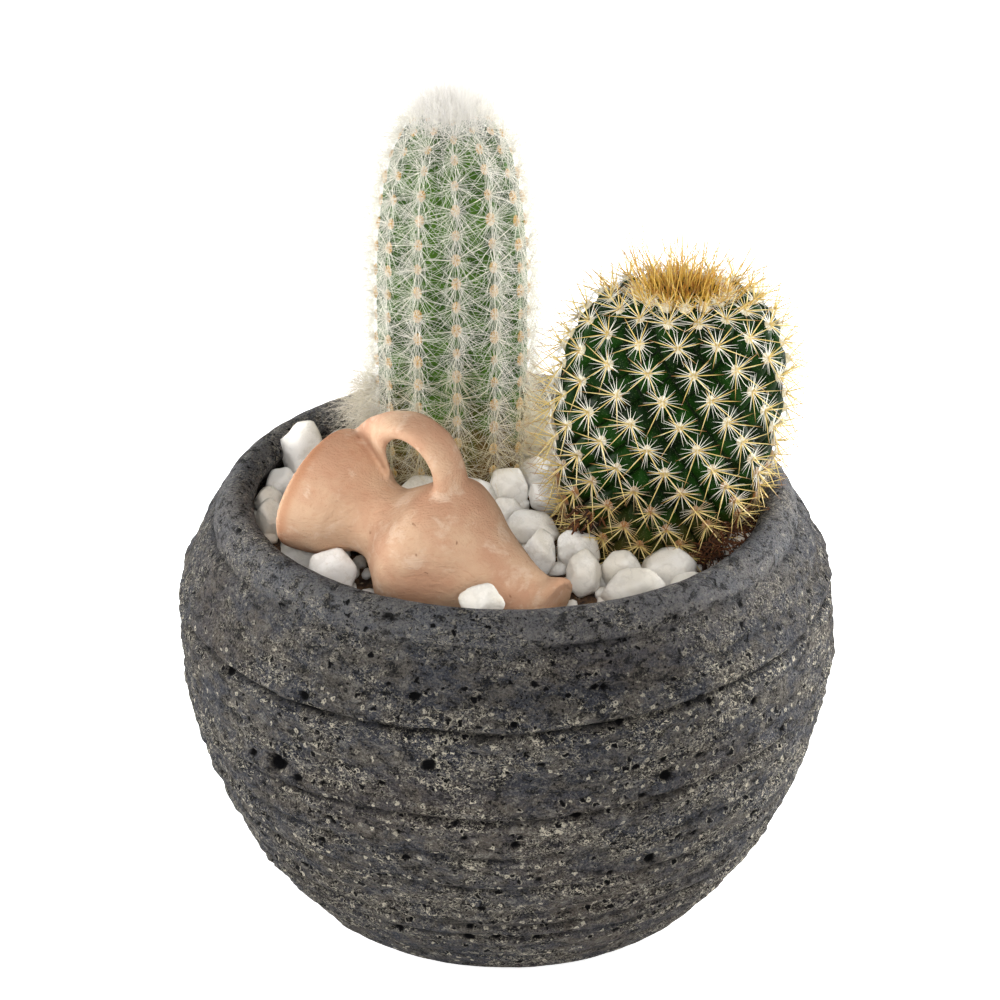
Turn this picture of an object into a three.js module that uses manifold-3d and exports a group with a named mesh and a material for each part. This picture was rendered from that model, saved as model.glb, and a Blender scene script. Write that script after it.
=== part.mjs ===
// A stone-grey thrown pot planted with a white-haired columnar cactus and a round, tubercled
// cactus, dressed with white marble pebbles and a small terracotta jug that lies on its side.
// Units are millimetres, +Z is up, and the origin is the centre of the pot's foot on the table.
// The front of the pot faces -Y.
import * as THREE from 'three';
import { ConvexGeometry } from 'three/addons/geometries/ConvexGeometry.js';
import { mergeVertices } from 'three/addons/utils/BufferGeometryUtils.js';
import Module from 'manifold-3d';

const wasm = await Module();
wasm.setup();

// ---------------------------------------------------------------- driving dimensions

const FIT_GAP = 0.3; // left wherever one piece rests on or stands in another
const SEED = 20467;

// The pot is a ball 141 mm across, cut off by a wide mouth above and a flat foot below.
const POT = {
  height: 95.5,
  widestRadius: 70.7,
  widestHeight: 65.5,
  upperReach: 53, // half height of the ellipse above the widest ring
  lowerReach: 84, // half height of the fuller curve below it
  lowerPower: 1.94,
  footRadius: 39,
  lipOuterRadius: 60.6,
  lipInnerRadius: 54.2,
  lipDepth: 9, // from the rim down to where the lip runs into the wall
  wall: 6.5,
  floor: 9,
  bottomRounding: 4, // radius of the inner corner between wall and floor
  segments: 36,
};
// Height and depth of the rings that the thrower's fingers left.
const POT_GROOVES = [
  [9, 0.3],
  [18, 0.7],
  [26, 0.4],
  [35, 0.6],
  [44, 0.5],
  [54, 1.0],
  [64, 0.3],
  [75, 0.9],
];

const SOIL_TOP = 82;
const PEBBLE_TOP = 91.5; // spines keep above the pebbles

// Both stems stand this deep in their holes in the soil.
const PLANTING_DEPTH = 6;

const COLUMN = {
  x: -12,
  y: 33,
  ribs: 12,
  ribDepth: 1.7,
  areolesPerRib: 15,
  buriedRadius: 13.6,
  spineLength: 6.4,
  // Radius of the rib crests at heights above the soil.
  outline: [
    [15.2, 0],
    [16.0, 10],
    [16.5, 30],
    [16.3, 49],
    [15.0, 62.5],
    [12.6, 72],
    [10.4, 77],
    [9.0, 79.2],
  ],
  woolHeight: 10.8,
  woolLength: 4.5,
  // Radius of the wool at heights above the stem.
  woolOutline: [
    [9.4, 0],
    [10.8, 2.6],
    [9.8, 6.2],
    [5.6, 9.6],
    [2.4, 10.4],
  ],
};

const ROUND = {
  x: 31.2,
  y: 3,
  lean: 0.1, // sideways shift to the right for each millimetre of height
  tuberclesPerRing: 15,
  rings: 13,
  tubercleDepth: 2.3,
  buriedRadius: 15.2,
  spineLength: 7,
  outline: [
    [17.3, 0],
    [18.4, 3.5],
    [20.0, 9],
    [22.3, 17.5],
    [24.0, 28],
    [24.0, 37],
    [22.6, 45.5],
    [19.4, 52],
    [14.6, 55.6],
    [9.4, 56.8],
  ],
  crownHeight: 2.6,
  crownSpineLength: 6.4,
  // Radius of the crown's pad at heights above the stem.
  crownOutline: [
    [9.2, 0],
    [9.8, 0.9],
    [8, 1.9],
    [4.4, 2.4],
    [2, 2.3],
  ],
};

// The jug is thrown upright, and leaned while the clay was soft. Its own frame has the foot's
// centre at the origin, Z along the axis to the mouth and X toward the handle.
const JUG = {
  foot: [9.3, -41, 86.4],
  heading: 33.7, // degrees from -X toward +Y in which the mouth points
  pitch: 16.8, // degrees that the axis rises
  lean: 0.11,
  wall: 2.4,
  segments: 24,
  handleWidth: 9.6,
  handleThickness: 4.8,
  floor: 6.5,
  // Distance from the foot and outside radius.
  outline: [
    [0, 7.4],
    [4.4, 6.1],
    [8.8, 7.2],
    [17.6, 11.2],
    [22.4, 14.3],
    [26.6, 16.4],
    [30.6, 16.2],
    [35.2, 12.2],
    [39.6, 8.3],
    [43.6, 8.5],
    [48.4, 12.2],
    [52.8, 13.6],
    [57.2, 14.1],
  ],
  // Distance from the foot and from the axis.
  handlePath: [
    [49.2, 11.6],
    [48.4, 15.2],
    [46.6, 19],
    [43.2, 22.4],
    [38.8, 24.3],
    [34.6, 23.8],
    [31.2, 21.5],
    [29.2, 18.2],
    [28.4, 14.9],
  ],
};

const PEBBLES = {
  count: 46,
  bedRadius: 56.7,
  lipRoom: 9.5, // pebbles higher than this stand inside the lip
  meanLength: 11.4,
  points: 14, // corners of one pebble
  rounds: 500, // of pushing the pebbles apart
  seed: 6,
};
// The pebbles that show in front: place on the bed, then length, width, height and turn in degrees.
const SHOWN_PEBBLES = [
  [-44.8, 24, 9.5, 8.4, 15.5, 0],
  [-49.4, 17.5, 8, 7.5, 9, 20],
  [-51.4, 9.6, 8, 7, 9, 70],
  [-51.2, 1.9, 9, 7, 9, 90],
  [-38, 38, 8.5, 8, 9, 0],
  [-41.6, -17.2, 13.6, 8, 5.4, -30],
  [-36, -27, 10, 8, 10.5, 30],
  [0.6, 17, 10.4, 9.4, 10, 10],
  [8.2, 12.4, 8.8, 8, 8.6, 60],
  [-1, 4.5, 8.4, 7, 7.5, 0],
  [4.8, -3.5, 12.6, 9, 9, -15],
  [7.2, -16.4, 8.8, 7.6, 11, 80],
  [15.2, -14.2, 10.6, 9.2, 9.6, -30],
  [16, -25, 8.8, 8, 11, 60],
  [24.4, -22.8, 9, 7.8, 8.6, 0],
  [26.6, -32, 14.4, 9.4, 9.2, 8],
  [37.6, -30, 8.6, 7.8, 8, 0],
];
// One pebble is wedged higher, between the jug and the lip of the pot.
const WEDGED_PEBBLE = { x: -5.5, y: -49.2, bottom: 87.8, size: [9.8, 8.2, 9.2, 0] };

// ---------------------------------------------------------------- shared helpers

// A small seeded generator, so that every draw comes out the same each time.
function makeRandom(seed) {
  let state = seed >>> 0;
  return () => {
    state = (state + 0x6d2b79f5) >>> 0;
    let bits = Math.imul(state ^ (state >>> 15), 1 | state);
    bits = (bits + Math.imul(bits ^ (bits >>> 7), 61 | bits)) ^ bits;
    return ((bits ^ (bits >>> 14)) >>> 0) / 4294967296;
  };
}
let random = makeRandom(SEED);
const spread = (middle, range) => middle + (random() * 2 - 1) * range;

// Keeps only positions, shares the vertices and drops facets with no area.
function closedGeometry(source) {
  const bare = source.clone();
  bare.deleteAttribute('normal');
  bare.deleteAttribute('uv');
  const merged = mergeVertices(bare, 1e-4);
  const index = merged.getIndex().array;
  const kept = [];
  for (let i = 0; i < index.length; i += 3) {
    const [a, b, c] = [index[i], index[i + 1], index[i + 2]];
    if (a !== b && b !== c && c !== a) {
      kept.push(a, b, c);
    }
  }
  merged.setIndex(kept);
  return merged;
}

function toSolid(geometry) {
  const closed = closedGeometry(geometry);
  return new wasm.Manifold(new wasm.Mesh({
    numProp: 3,
    vertProperties: Float32Array.from(closed.getAttribute('position').array),
    triVerts: Uint32Array.from(closed.getIndex().array),
  }));
}

function toGeometry(solid) {
  const mesh = solid.getMesh();
  const geometry = new THREE.BufferGeometry();
  geometry.setAttribute('position', new THREE.BufferAttribute(mesh.vertProperties, 3));
  geometry.setIndex(new THREE.BufferAttribute(mesh.triVerts, 1));
  return geometry;
}

// Turns an outline of [radius, height] pairs about the Z axis.
function turned(outline, segments) {
  const points = outline.map(([radius, height]) => new THREE.Vector2(radius, height));
  return closedGeometry(new THREE.LatheGeometry(points, segments).rotateX(Math.PI / 2));
}

function makeMesh(name, geometry, color, roughness) {
  const material = new THREE.MeshStandardMaterial({ color, roughness, metalness: 0 });
  const mesh = new THREE.Mesh(geometry, material);
  mesh.name = name;
  return mesh;
}

// ---------------------------------------------------------------- pot

function potOuterRadius(height) {
  const { widestRadius, widestHeight, upperReach, lowerReach, lowerPower } = POT;
  if (height > widestHeight) {
    return widestRadius * Math.sqrt(1 - ((height - widestHeight) / upperReach) ** 2);
  }
  const drop = (widestHeight - height) / lowerReach;
  return widestRadius * (1 - drop ** lowerPower) ** (1 / lowerPower);
}

function potInnerOutline(clearance) {
  const heights = [16, 30, 48, 66, SOIL_TOP];
  const wall = POT.wall + clearance;
  return heights.map((height) => [potOuterRadius(height) - wall, height]);
}

function makePot() {
  const { height, footRadius, lipOuterRadius, lipInnerRadius, lipDepth, floor } = POT;
  const outside = [
    [0, 0],
    [footRadius, 0],
    [potOuterRadius(1.4) - 1.2, 0.7],
    [potOuterRadius(3), 3],
  ];
  POT_GROOVES.forEach(([groove, depth], i) => {
    const next = i + 1 < POT_GROOVES.length ? POT_GROOVES[i + 1][0] : height - lipDepth;
    const crest = (groove + next) / 2;
    outside.push([potOuterRadius(groove) - depth, groove], [potOuterRadius(crest) + 0.2, crest]);
  });
  const lipMiddle = (lipOuterRadius + lipInnerRadius) / 2;
  const lip = [
    [potOuterRadius(height - 6), height - 6],
    [lipOuterRadius, height - 1.8],
    [lipMiddle + 1.6, height],
    [lipMiddle - 1.2, height],
    [lipInnerRadius + 0.4, height - 1.2],
    [lipInnerRadius, height - 3.5],
    [lipInnerRadius + 2.6, height - 5.5],
    [lipInnerRadius + 4.4, height - lipDepth],
  ];
  const inside = potInnerOutline(0).reverse();
  inside.push([potOuterRadius(floor) - POT.wall - POT.bottomRounding, floor], [0, floor]);
  return turned([...outside, ...lip, ...inside], POT.segments);
}

// ---------------------------------------------------------------- soil

// A plain hole in the soil, a little wider than the buried end of a stem.
function plantingHole(plant) {
  const radius = plant.outline[0][0] + FIT_GAP * 2;
  const hole = new THREE.CylinderGeometry(radius, radius, PLANTING_DEPTH * 2, 24);
  hole.rotateX(Math.PI / 2);
  hole.translate(plant.x, plant.y, SOIL_TOP - FIT_GAP);
  return toSolid(hole);
}

function makeSoil() {
  const bottom = POT.floor + FIT_GAP;
  const side = potInnerOutline(FIT_GAP);
  const bottomRadius = potOuterRadius(bottom) - POT.wall - POT.bottomRounding - FIT_GAP * 3;
  const outline = [[0, bottom], [bottomRadius, bottom], ...side, [0, SOIL_TOP]];
  let soil = toSolid(turned(outline, POT.segments));
  for (const plant of [COLUMN, ROUND]) {
    soil = soil.subtract(plantingHole(plant));
  }
  return toGeometry(soil.subtract(jugNest()));
}

// ---------------------------------------------------------------- spiny skins

const SPINE_ROOT = 0.6; // distance from the middle of an areole to the edge of its spines
const SPINE_CLEARANCE = 0.45;
const MOST_TRIES = 14;
const SHORTENED = 0.72; // share of its length that a spine keeps in the later tries
const placedSpines = [];

// A spine has room if it stays above the pebbles, off the pot's lip and clear of other spines.
function spineHasRoom(line, areole) {
  const tip = line.end;
  const outward = Math.hypot(tip.x, tip.y);
  if (tip.z < PEBBLE_TOP || (outward > POT.lipInnerRadius - 0.8 && tip.z < POT.height + 0.8)) {
    return false;
  }
  const clearance = SPINE_CLEARANCE ** 2;
  return placedSpines.every((other) => (
    other.areole === areole || line.distanceSqToLine3(other.line) > clearance
  ));
}

// Finds the tip of one spine. Where the spine would cross another, it is bent, then shortened.
function spineTip(root, aim, length, areole, place) {
  for (let attempt = 0; attempt < MOST_TRIES; attempt += 1) {
    const bend = 0.05 + 0.025 * attempt;
    const direction = aim.clone().add(new THREE.Vector3(spread(0, bend), spread(0, bend), spread(0, bend)));
    const reach = length * (attempt < MOST_TRIES / 2 ? 1 : SHORTENED) * spread(1, 0.08);
    const tip = root.clone().addScaledVector(direction.normalize(), reach);
    const line = new THREE.Line3(place(root), place(tip));
    if (!areole.isTaken(tip) && spineHasRoom(line, areole)) {
      placedSpines.push({ line, areole });
      return tip;
    }
  }
  return null;
}

// A closed skin on a grid of columns round a stem and rows up it. Crests and valleys alternate
// over the grid like the squares of a chessboard. Where a crest bears an areole, the tip of each
// facet round it is raised to a spine.
//   point(column, row)   gives a grid point
//   areole(column, row)  gives null, or the areole's outward direction and its spines: their
//                        splay, lift and length, two in place of one, and the space they avoid
//   place(point)         takes a point to where the plant stands
function spinySkin({ columns, rows, point, areole, place, bottom, top }) {
  const points = [];
  const facets = [];
  const addPoint = (position) => points.push(position) - 1;
  const grid = [];
  for (let row = 0; row <= rows; row += 1) {
    for (let column = 0; column < columns; column += 1) {
      grid.push(addPoint(point(column, row)));
    }
  }
  const at = (column, row) => grid[row * columns + ((column + columns) % columns)];

  const edgePoints = new Map();
  const nearCrest = (crest, other) => {
    const key = `${crest}-${other}`;
    if (!edgePoints.has(key)) {
      const step = points[other].clone().sub(points[crest]).setLength(SPINE_ROOT);
      edgePoints.set(key, addPoint(step.add(points[crest])));
    }
    return edgePoints.get(key);
  };

  const addCrestFacet = (column, row, first, second) => {
    const crest = at(column, row);
    const growth = areole(column, row);
    if (!growth) {
      facets.push([crest, first, second]);
      return;
    }
    const start = nearCrest(crest, first);
    const end = nearCrest(crest, second);
    const along = points[start].clone().add(points[end]).multiplyScalar(0.5).sub(points[crest]);
    const bearing = along.clone().normalize();
    const edge = [start, end];
    if (growth.double(bearing)) {
      edge.splice(1, 0, addPoint(points[start].clone().add(points[end]).multiplyScalar(0.5)));
      facets.push([start, first, edge[1]], [edge[1], first, second], [edge[1], second, end]);
    } else {
      facets.push([start, first, second], [start, second, end]);
    }
    for (let i = 0; i + 1 < edge.length; i += 1) {
      const root = new THREE.Vector3();
      [crest, edge[i], edge[i + 1]].forEach((corner) => root.addScaledVector(points[corner], 1 / 3));
      const side = root.clone().sub(points[crest]).normalize();
      const aim = side.multiplyScalar(growth.splay).addScaledVector(growth.outward, growth.lift(bearing));
      const tip = spineTip(root, aim.normalize(), growth.length(bearing), growth, place);
      if (tip) {
        const needle = addPoint(tip);
        facets.push([crest, edge[i], needle], [edge[i], edge[i + 1], needle], [edge[i + 1], crest, needle]);
      } else {
        facets.push([crest, edge[i], edge[i + 1]]);
      }
    }
  };

  for (let row = 0; row < rows; row += 1) {
    for (let column = 0; column < columns; column += 1) {
      const [low, lowNext] = [at(column, row), at(column + 1, row)];
      const [high, highNext] = [at(column, row + 1), at(column + 1, row + 1)];
      if ((column + row) % 2 === 0) {
        addCrestFacet(column, row, lowNext, high);
        addCrestFacet((column + 1) % columns, row + 1, high, lowNext);
      } else {
        addCrestFacet((column + 1) % columns, row, highNext, low);
        addCrestFacet(column, row + 1, low, highNext);
      }
    }
  }
  const middleBottom = addPoint(bottom);
  const middleTop = addPoint(top);
  for (let column = 0; column < columns; column += 1) {
    facets.push([middleBottom, at(column + 1, 0), at(column, 0)]);
    facets.push([middleTop, at(column, rows), at(column + 1, rows)]);
  }

  const geometry = new THREE.BufferGeometry().setFromPoints(points);
  geometry.setIndex(facets.flat());
  return geometry;
}

// The plant's meridian: radius and height at even steps along a smooth curve.
function meridian(outline) {
  const curve = new THREE.SplineCurve(outline.map(([radius, height]) => new THREE.Vector2(radius, height)));
  curve.arcLengthDivisions = 400;
  return (share) => {
    const position = curve.getPointAt(share);
    const tangent = curve.getTangentAt(share);
    return { radius: position.x, height: position.y, out: tangent.y, up: -tangent.x };
  };
}

const atAngle = (radius, angle, height) => (
  new THREE.Vector3(radius * Math.cos(angle), radius * Math.sin(angle), height)
);

// ---------------------------------------------------------------- columnar cactus

const onColumn = (position) => position.clone().add(new THREE.Vector3(COLUMN.x, COLUMN.y, SOIL_TOP));

function makeColumnStem() {
  const columns = COLUMN.ribs * 2;
  const rows = COLUMN.areolesPerRib * 2 + 1;
  const outline = meridian(COLUMN.outline);
  const angleOf = (column) => (column * 2 * Math.PI) / columns;
  // Row 0 is the buried end; the rest of the rows climb from the soil to the top.
  const ringOf = (row) => (
    row === 0
      ? { radius: COLUMN.buriedRadius, height: -PLANTING_DEPTH, out: 1, up: 0 }
      : outline((row - 1) / (rows - 1))
  );
  const fade = (row) => Math.min(1, (rows - row) / 6);
  const point = (column, row) => {
    const ring = ringOf(row);
    const valley = row > 0 && column % 2 === 1 ? COLUMN.ribDepth * fade(row) : 0;
    return atAngle(ring.radius - valley, angleOf(column), ring.height);
  };
  const growths = new Map();
  const areole = (column, row) => {
    const ring = ringOf(row);
    if (column % 2 === 1 || row < 4 || row > rows - 2) {
      return null;
    }
    const key = row * columns + column;
    if (!growths.has(key)) {
      const outward = atAngle(ring.out, angleOf(column), ring.up);
      growths.set(key, {
        outward,
        splay: 1,
        lift: (bearing) => (bearing.z > 0 ? 0.85 : 0.38),
        length: () => COLUMN.spineLength,
        double: () => false,
        isTaken: () => false,
      });
    }
    return growths.get(key);
  };
  return spinySkin({
    columns,
    rows,
    point,
    areole,
    place: onColumn,
    bottom: new THREE.Vector3(0, 0, -PLANTING_DEPTH),
    top: new THREE.Vector3(0, 0, COLUMN.outline.at(-1)[1]),
  });
}

// The tuft of white wool that hides the growing tip, standing just over the stem.
function makeColumnWool() {
  const base = COLUMN.outline.at(-1)[1] + FIT_GAP;
  const outline = meridian(COLUMN.woolOutline);
  const columns = 12;
  const rows = 4;
  const angleOf = (column) => (column * 2 * Math.PI) / columns;
  return spinySkin({
    columns,
    rows,
    point: (column, row) => {
      const ring = outline(row / rows);
      const crest = (column + row) % 2 === 0 ? 0.3 : -0.5;
      return atAngle(ring.radius + crest, angleOf(column), base + ring.height);
    },
    areole: (column, row) => {
      if (row === 0 || row === rows) {
        return null;
      }
      const ring = outline(row / rows);
      return {
        outward: atAngle(ring.out, angleOf(column), ring.up + 0.3),
        splay: 0.7,
        lift: () => 1,
        length: () => COLUMN.woolLength,
        double: () => false,
        isTaken: () => false,
      };
    },
    place: onColumn,
    bottom: new THREE.Vector3(0, 0, base),
    top: new THREE.Vector3(0, 0, base + COLUMN.woolHeight),
  });
}

// ---------------------------------------------------------------- round cactus

const onRound = (position) => new THREE.Vector3(
  position.x + ROUND.x + ROUND.lean * position.z,
  position.y + ROUND.y,
  position.z + SOIL_TOP,
);

function makeRoundStem() {
  const columns = ROUND.tuberclesPerRing * 2;
  const rows = ROUND.rings + 1;
  const outline = meridian(ROUND.outline);
  const crownBase = ROUND.outline.at(-1)[1];
  const crownRadius = ROUND.crownOutline[1][0] + 1;
  // Each ring is turned a little on the one below, so that the tubercles climb in spirals.
  const angleOf = (column, row) => ((column + row * 0.18) * 2 * Math.PI) / columns;
  // The rings crowd together toward the soil, where the tubercles are oldest.
  const ringOf = (row) => (
    row === 0
      ? { radius: ROUND.buriedRadius, height: -PLANTING_DEPTH, out: 1, up: 0 }
      : outline(((row - 1) / (rows - 1)) ** 1.12)
  );
  const point = (column, row) => {
    const ring = ringOf(row);
    const isValley = row > 0 && row < rows && (column + row) % 2 === 1;
    const depth = isValley ? ROUND.tubercleDepth : 0;
    return atAngle(ring.radius - depth * ring.out, angleOf(column, row), ring.height - depth * ring.up);
  };
  const growths = new Map();
  const areole = (column, row) => {
    if (row < 2 || row === rows) {
      return null;
    }
    const key = row * columns + column;
    if (!growths.has(key)) {
      const ring = ringOf(row);
      growths.set(key, {
        outward: atAngle(ring.out, angleOf(column, row), ring.up),
        splay: 1,
        lift: (bearing) => (bearing.z > 0 ? 0.9 : 0.42),
        length: (bearing) => ROUND.spineLength * (bearing.z > 0 ? 0.85 : 1),
        double: (bearing) => bearing.z < 0,
        isTaken: (tip) => tip.z > crownBase - 1 && Math.hypot(tip.x, tip.y) < crownRadius,
      });
    }
    return growths.get(key);
  };
  return spinySkin({
    columns,
    rows,
    point,
    areole,
    place: onRound,
    bottom: new THREE.Vector3(0, 0, -PLANTING_DEPTH),
    top: new THREE.Vector3(0, 0, crownBase),
  });
}

// The crown: young golden spines packed upright on a pad of pale wool over the growing tip.
function makeRoundCrown() {
  const base = ROUND.outline.at(-1)[1] + FIT_GAP;
  const outline = meridian(ROUND.crownOutline);
  const columns = 16;
  const rows = 4;
  const angleOf = (column) => (column * 2 * Math.PI) / columns;
  return spinySkin({
    columns,
    rows,
    point: (column, row) => {
      const ring = outline(row / rows);
      return atAngle(ring.radius, angleOf(column), base + ring.height);
    },
    areole: (column, row) => {
      if (row === 0 || row === rows) {
        return null;
      }
      const ring = outline(row / rows);
      return {
        outward: atAngle(ring.out * 0.55, angleOf(column), 1),
        splay: 0.3,
        lift: () => 1,
        length: () => ROUND.crownSpineLength,
        double: () => false,
        isTaken: () => false,
      };
    },
    place: onRound,
    bottom: new THREE.Vector3(0, 0, base),
    top: new THREE.Vector3(0, 0, base + ROUND.crownHeight),
  });
}

// ---------------------------------------------------------------- jug

function jugWall() {
  const outer = JUG.outline.map(([along, radius]) => [radius, along]);
  return toSolid(turned([[0, 0], ...outer, [0, JUG.outline.at(-1)[0]]], JUG.segments));
}

function jugHollow() {
  const floor = JUG.floor;
  const inner = JUG.outline
    .filter(([along]) => along > floor)
    .map(([along, radius]) => [radius - JUG.wall, along]);
  const pastMouth = JUG.outline.at(-1)[0] + 1;
  const edge = inner.pop()[0] + 0.9; // the wall thins to the edge of the mouth
  return toSolid(turned([[0, floor], ...inner, [edge, pastMouth], [0, pastMouth]], JUG.segments));
}

function jugHandle() {
  const path = new THREE.CatmullRomCurve3(
    JUG.handlePath.map(([along, out]) => new THREE.Vector3(out, 0, along)),
  );
  const section = new THREE.Shape();
  section.absellipse(0, 0, JUG.handleThickness / 2, JUG.handleWidth / 2, 0, 2 * Math.PI);
  return toSolid(new THREE.ExtrudeGeometry(section, { steps: 12, curveSegments: 5, extrudePath: path }));
}

const jugLean = () => new THREE.Matrix4().makeShear(0, 0, 0, 0, 0, -JUG.lean);

// Turns the jug's own frame to the way it lies.
function jugRotation() {
  const heading = THREE.MathUtils.degToRad(JUG.heading);
  const pitch = THREE.MathUtils.degToRad(JUG.pitch);
  const axis = new THREE.Vector3(
    -Math.cos(heading) * Math.cos(pitch),
    Math.sin(heading) * Math.cos(pitch),
    Math.sin(pitch),
  );
  const side = axis.clone().cross(new THREE.Vector3(0, 0, 1)).normalize();
  return new THREE.Matrix4().makeBasis(side.clone().cross(axis), side, axis);
}

function makeJug() {
  const geometry = toGeometry(jugWall().add(jugHandle()).subtract(jugHollow()));
  const mesh = makeMesh('jug', geometry.applyMatrix4(jugLean()), 0xd9a788, 0.85);
  mesh.quaternion.setFromRotationMatrix(jugRotation());
  mesh.position.set(...JUG.foot);
  return mesh;
}

// The bed that the jug has pressed in the soil, a little wider than the jug itself.
function jugNest() {
  const reach = JUG.outline.at(-1)[0];
  const outer = JUG.outline.map(([along, radius]) => [radius + FIT_GAP * 1.5, along]);
  const pastFoot = -1;
  const nest = turned([[0, pastFoot], [outer[0][0], pastFoot], ...outer, [0, reach]], JUG.segments);
  return toSolid(nest.applyMatrix4(jugLean()).applyMatrix4(jugRotation()).translate(...JUG.foot));
}

// ---------------------------------------------------------------- pebbles

// A chip of marble: the hull of a few points on an ellipsoid, with its corners pulled in unevenly.
function pebbleGeometry([length, width, height, degrees]) {
  const corners = [];
  const turn = Math.PI * (3 - Math.sqrt(5));
  for (let i = 0; i < PEBBLES.points; i += 1) {
    const level = 1 - (2 * i + 1) / PEBBLES.points;
    const ring = Math.sqrt(1 - level * level);
    const angle = i * turn + spread(0, 0.35);
    const pull = spread(0.92, 0.09);
    corners.push(new THREE.Vector3(
      ring * Math.cos(angle) * pull * length * 0.53,
      ring * Math.sin(angle) * pull * width * 0.53,
      level * pull * height * 0.55,
    ));
  }
  const geometry = new ConvexGeometry(corners).rotateZ(THREE.MathUtils.degToRad(degrees));
  geometry.computeBoundingBox();
  geometry.translate(0, 0, -geometry.boundingBox.min.z);
  return closedGeometry(geometry);
}

// How far a pebble reaches from its middle toward a direction on the bed.
function reachToward(geometry, direction) {
  const position = geometry.getAttribute('position');
  let reach = 0;
  for (let i = 0; i < position.count; i += 1) {
    reach = Math.max(reach, position.getX(i) * direction.x + position.getY(i) * direction.y);
  }
  return reach;
}

// What stands or lies among the pebbles, as upright posts.
function pebbleObstacles() {
  const posts = [
    { x: COLUMN.x, y: COLUMN.y, reach: 16 },
    { x: ROUND.x + 0.4, y: ROUND.y, reach: 19.2 },
    { x: WEDGED_PEBBLE.x, y: WEDGED_PEBBLE.y, reach: 5 },
  ];
  const rotation = jugRotation();
  for (const [along, radius] of JUG.outline) {
    // The jug's belly lies among the pebbles. Its raised mouth leaves room for low ones below.
    const isBelly = along < 38;
    const isMouth = along > 46;
    if (isBelly || isMouth) {
      const middle = new THREE.Vector3(isMouth ? -radius : 0, -JUG.lean * along, along);
      middle.applyMatrix4(rotation).add(new THREE.Vector3(...JUG.foot));
      posts.push({
        x: middle.x,
        y: middle.y,
        reach: isMouth ? radius * 0.6 : radius * 0.97,
        roomBelow: isMouth ? middle.z - SOIL_TOP - FIT_GAP * 2 : 0,
      });
    }
  }
  return posts;
}

// A place on the bed drawn at random, away from the plants, the jug and the pebbles that show.
function freePlace(posts) {
  const taken = [
    ...posts.map((post) => [post.x, post.y, post.reach + 3]),
    ...SHOWN_PEBBLES.map(([x, y, length]) => [x, y, length * 0.8]),
  ];
  let place;
  do {
    const angle = random() * 2 * Math.PI;
    const radius = (PEBBLES.bedRadius - 5) * Math.sqrt(random());
    place = { x: radius * Math.cos(angle), y: radius * Math.sin(angle) };
  } while (taken.some(([x, y, reach]) => Math.hypot(place.x - x, place.y - y) < reach));
  return place;
}

// Lays the pebbles out in one layer: they start where they show, or at random, and are pushed
// apart until none touches another, the plants, the jug or the pot.
function layPebbles() {
  random = makeRandom(PEBBLES.seed);
  const posts = pebbleObstacles();
  const stones = [];
  for (let i = 0; i < PEBBLES.count - 1; i += 1) {
    const shown = SHOWN_PEBBLES[i];
    const length = spread(PEBBLES.meanLength, 1.6);
    const size = shown
      ? shown.slice(2)
      : [length, length * spread(0.86, 0.08), spread(8.8, 0.5), 360 * random()];
    stones.push({
      geometry: pebbleGeometry(size),
      height: size[2] * 1.05,
      yields: shown ? 1 : 12,
      ...(shown ? { x: shown[0], y: shown[1] } : freePlace(posts)),
    });
  }
  const push = (stone, other) => {
    const away = new THREE.Vector2(stone.x - other.x, stone.y - other.y);
    const distance = away.length();
    away.normalize();
    const otherReach = other.reach ?? reachToward(other.geometry, away);
    const overlap = reachToward(stone.geometry, away.clone().negate()) + otherReach + FIT_GAP - distance;
    if (overlap > 0) {
      const share = other.reach ? 1 : stone.yields / (stone.yields + other.yields);
      stone.x += away.x * overlap * share;
      stone.y += away.y * overlap * share;
      if (!other.reach) {
        other.x -= away.x * overlap * (1 - share);
        other.y -= away.y * overlap * (1 - share);
      }
    }
  };
  for (let round = 0; round < PEBBLES.rounds; round += 1) {
    stones.forEach((stone, i) => {
      stones.slice(i + 1).forEach((other) => push(stone, other));
      posts.filter((post) => !(post.roomBelow > stone.height)).forEach((post) => push(stone, post));
      const outward = new THREE.Vector2(stone.x, stone.y).normalize();
      const isTall = stone.height > PEBBLES.lipRoom;
      const bed = isTall ? POT.lipInnerRadius - FIT_GAP : PEBBLES.bedRadius;
      const most = bed - reachToward(stone.geometry, outward);
      if (Math.hypot(stone.x, stone.y) > most) {
        stone.x = outward.x * most;
        stone.y = outward.y * most;
      }
    });
  }
  return stones;
}

function makePebbles() {
  const stones = layPebbles().map((stone) => ({ ...stone, bottom: SOIL_TOP + FIT_GAP }));
  stones.push({ ...WEDGED_PEBBLE, geometry: pebbleGeometry(WEDGED_PEBBLE.size) });
  return stones.map((stone, i) => {
    const mesh = makeMesh(`pebble_${String(i + 1).padStart(2, '0')}`, stone.geometry, 0xf2f0ec, 0.5);
    mesh.position.set(stone.x, stone.y, stone.bottom);
    return mesh;
  });
}

// ---------------------------------------------------------------- assembly

const object = new THREE.Group();
object.add(makeMesh('pot', makePot(), 0x55555a, 0.9));
object.add(makeMesh('soil', makeSoil(), 0x3a2a1e, 1));

const column = new THREE.Group();
column.position.set(COLUMN.x, COLUMN.y, SOIL_TOP);
column.add(makeMesh('column_cactus', makeColumnStem(), 0x7f9a63, 0.8));
column.add(makeMesh('column_cactus_wool', makeColumnWool(), 0xf3efe8, 1));
object.add(column);

const round = new THREE.Group();
const leaning = new THREE.Matrix4().makeShear(0, 0, 0, 0, ROUND.lean, 0);
round.position.set(ROUND.x, ROUND.y, SOIL_TOP);
round.add(makeMesh('round_cactus', makeRoundStem().applyMatrix4(leaning), 0x2f5a2c, 0.6));
round.add(makeMesh('round_cactus_crown', makeRoundCrown().applyMatrix4(leaning), 0xc9952f, 0.7));
object.add(round);

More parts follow.
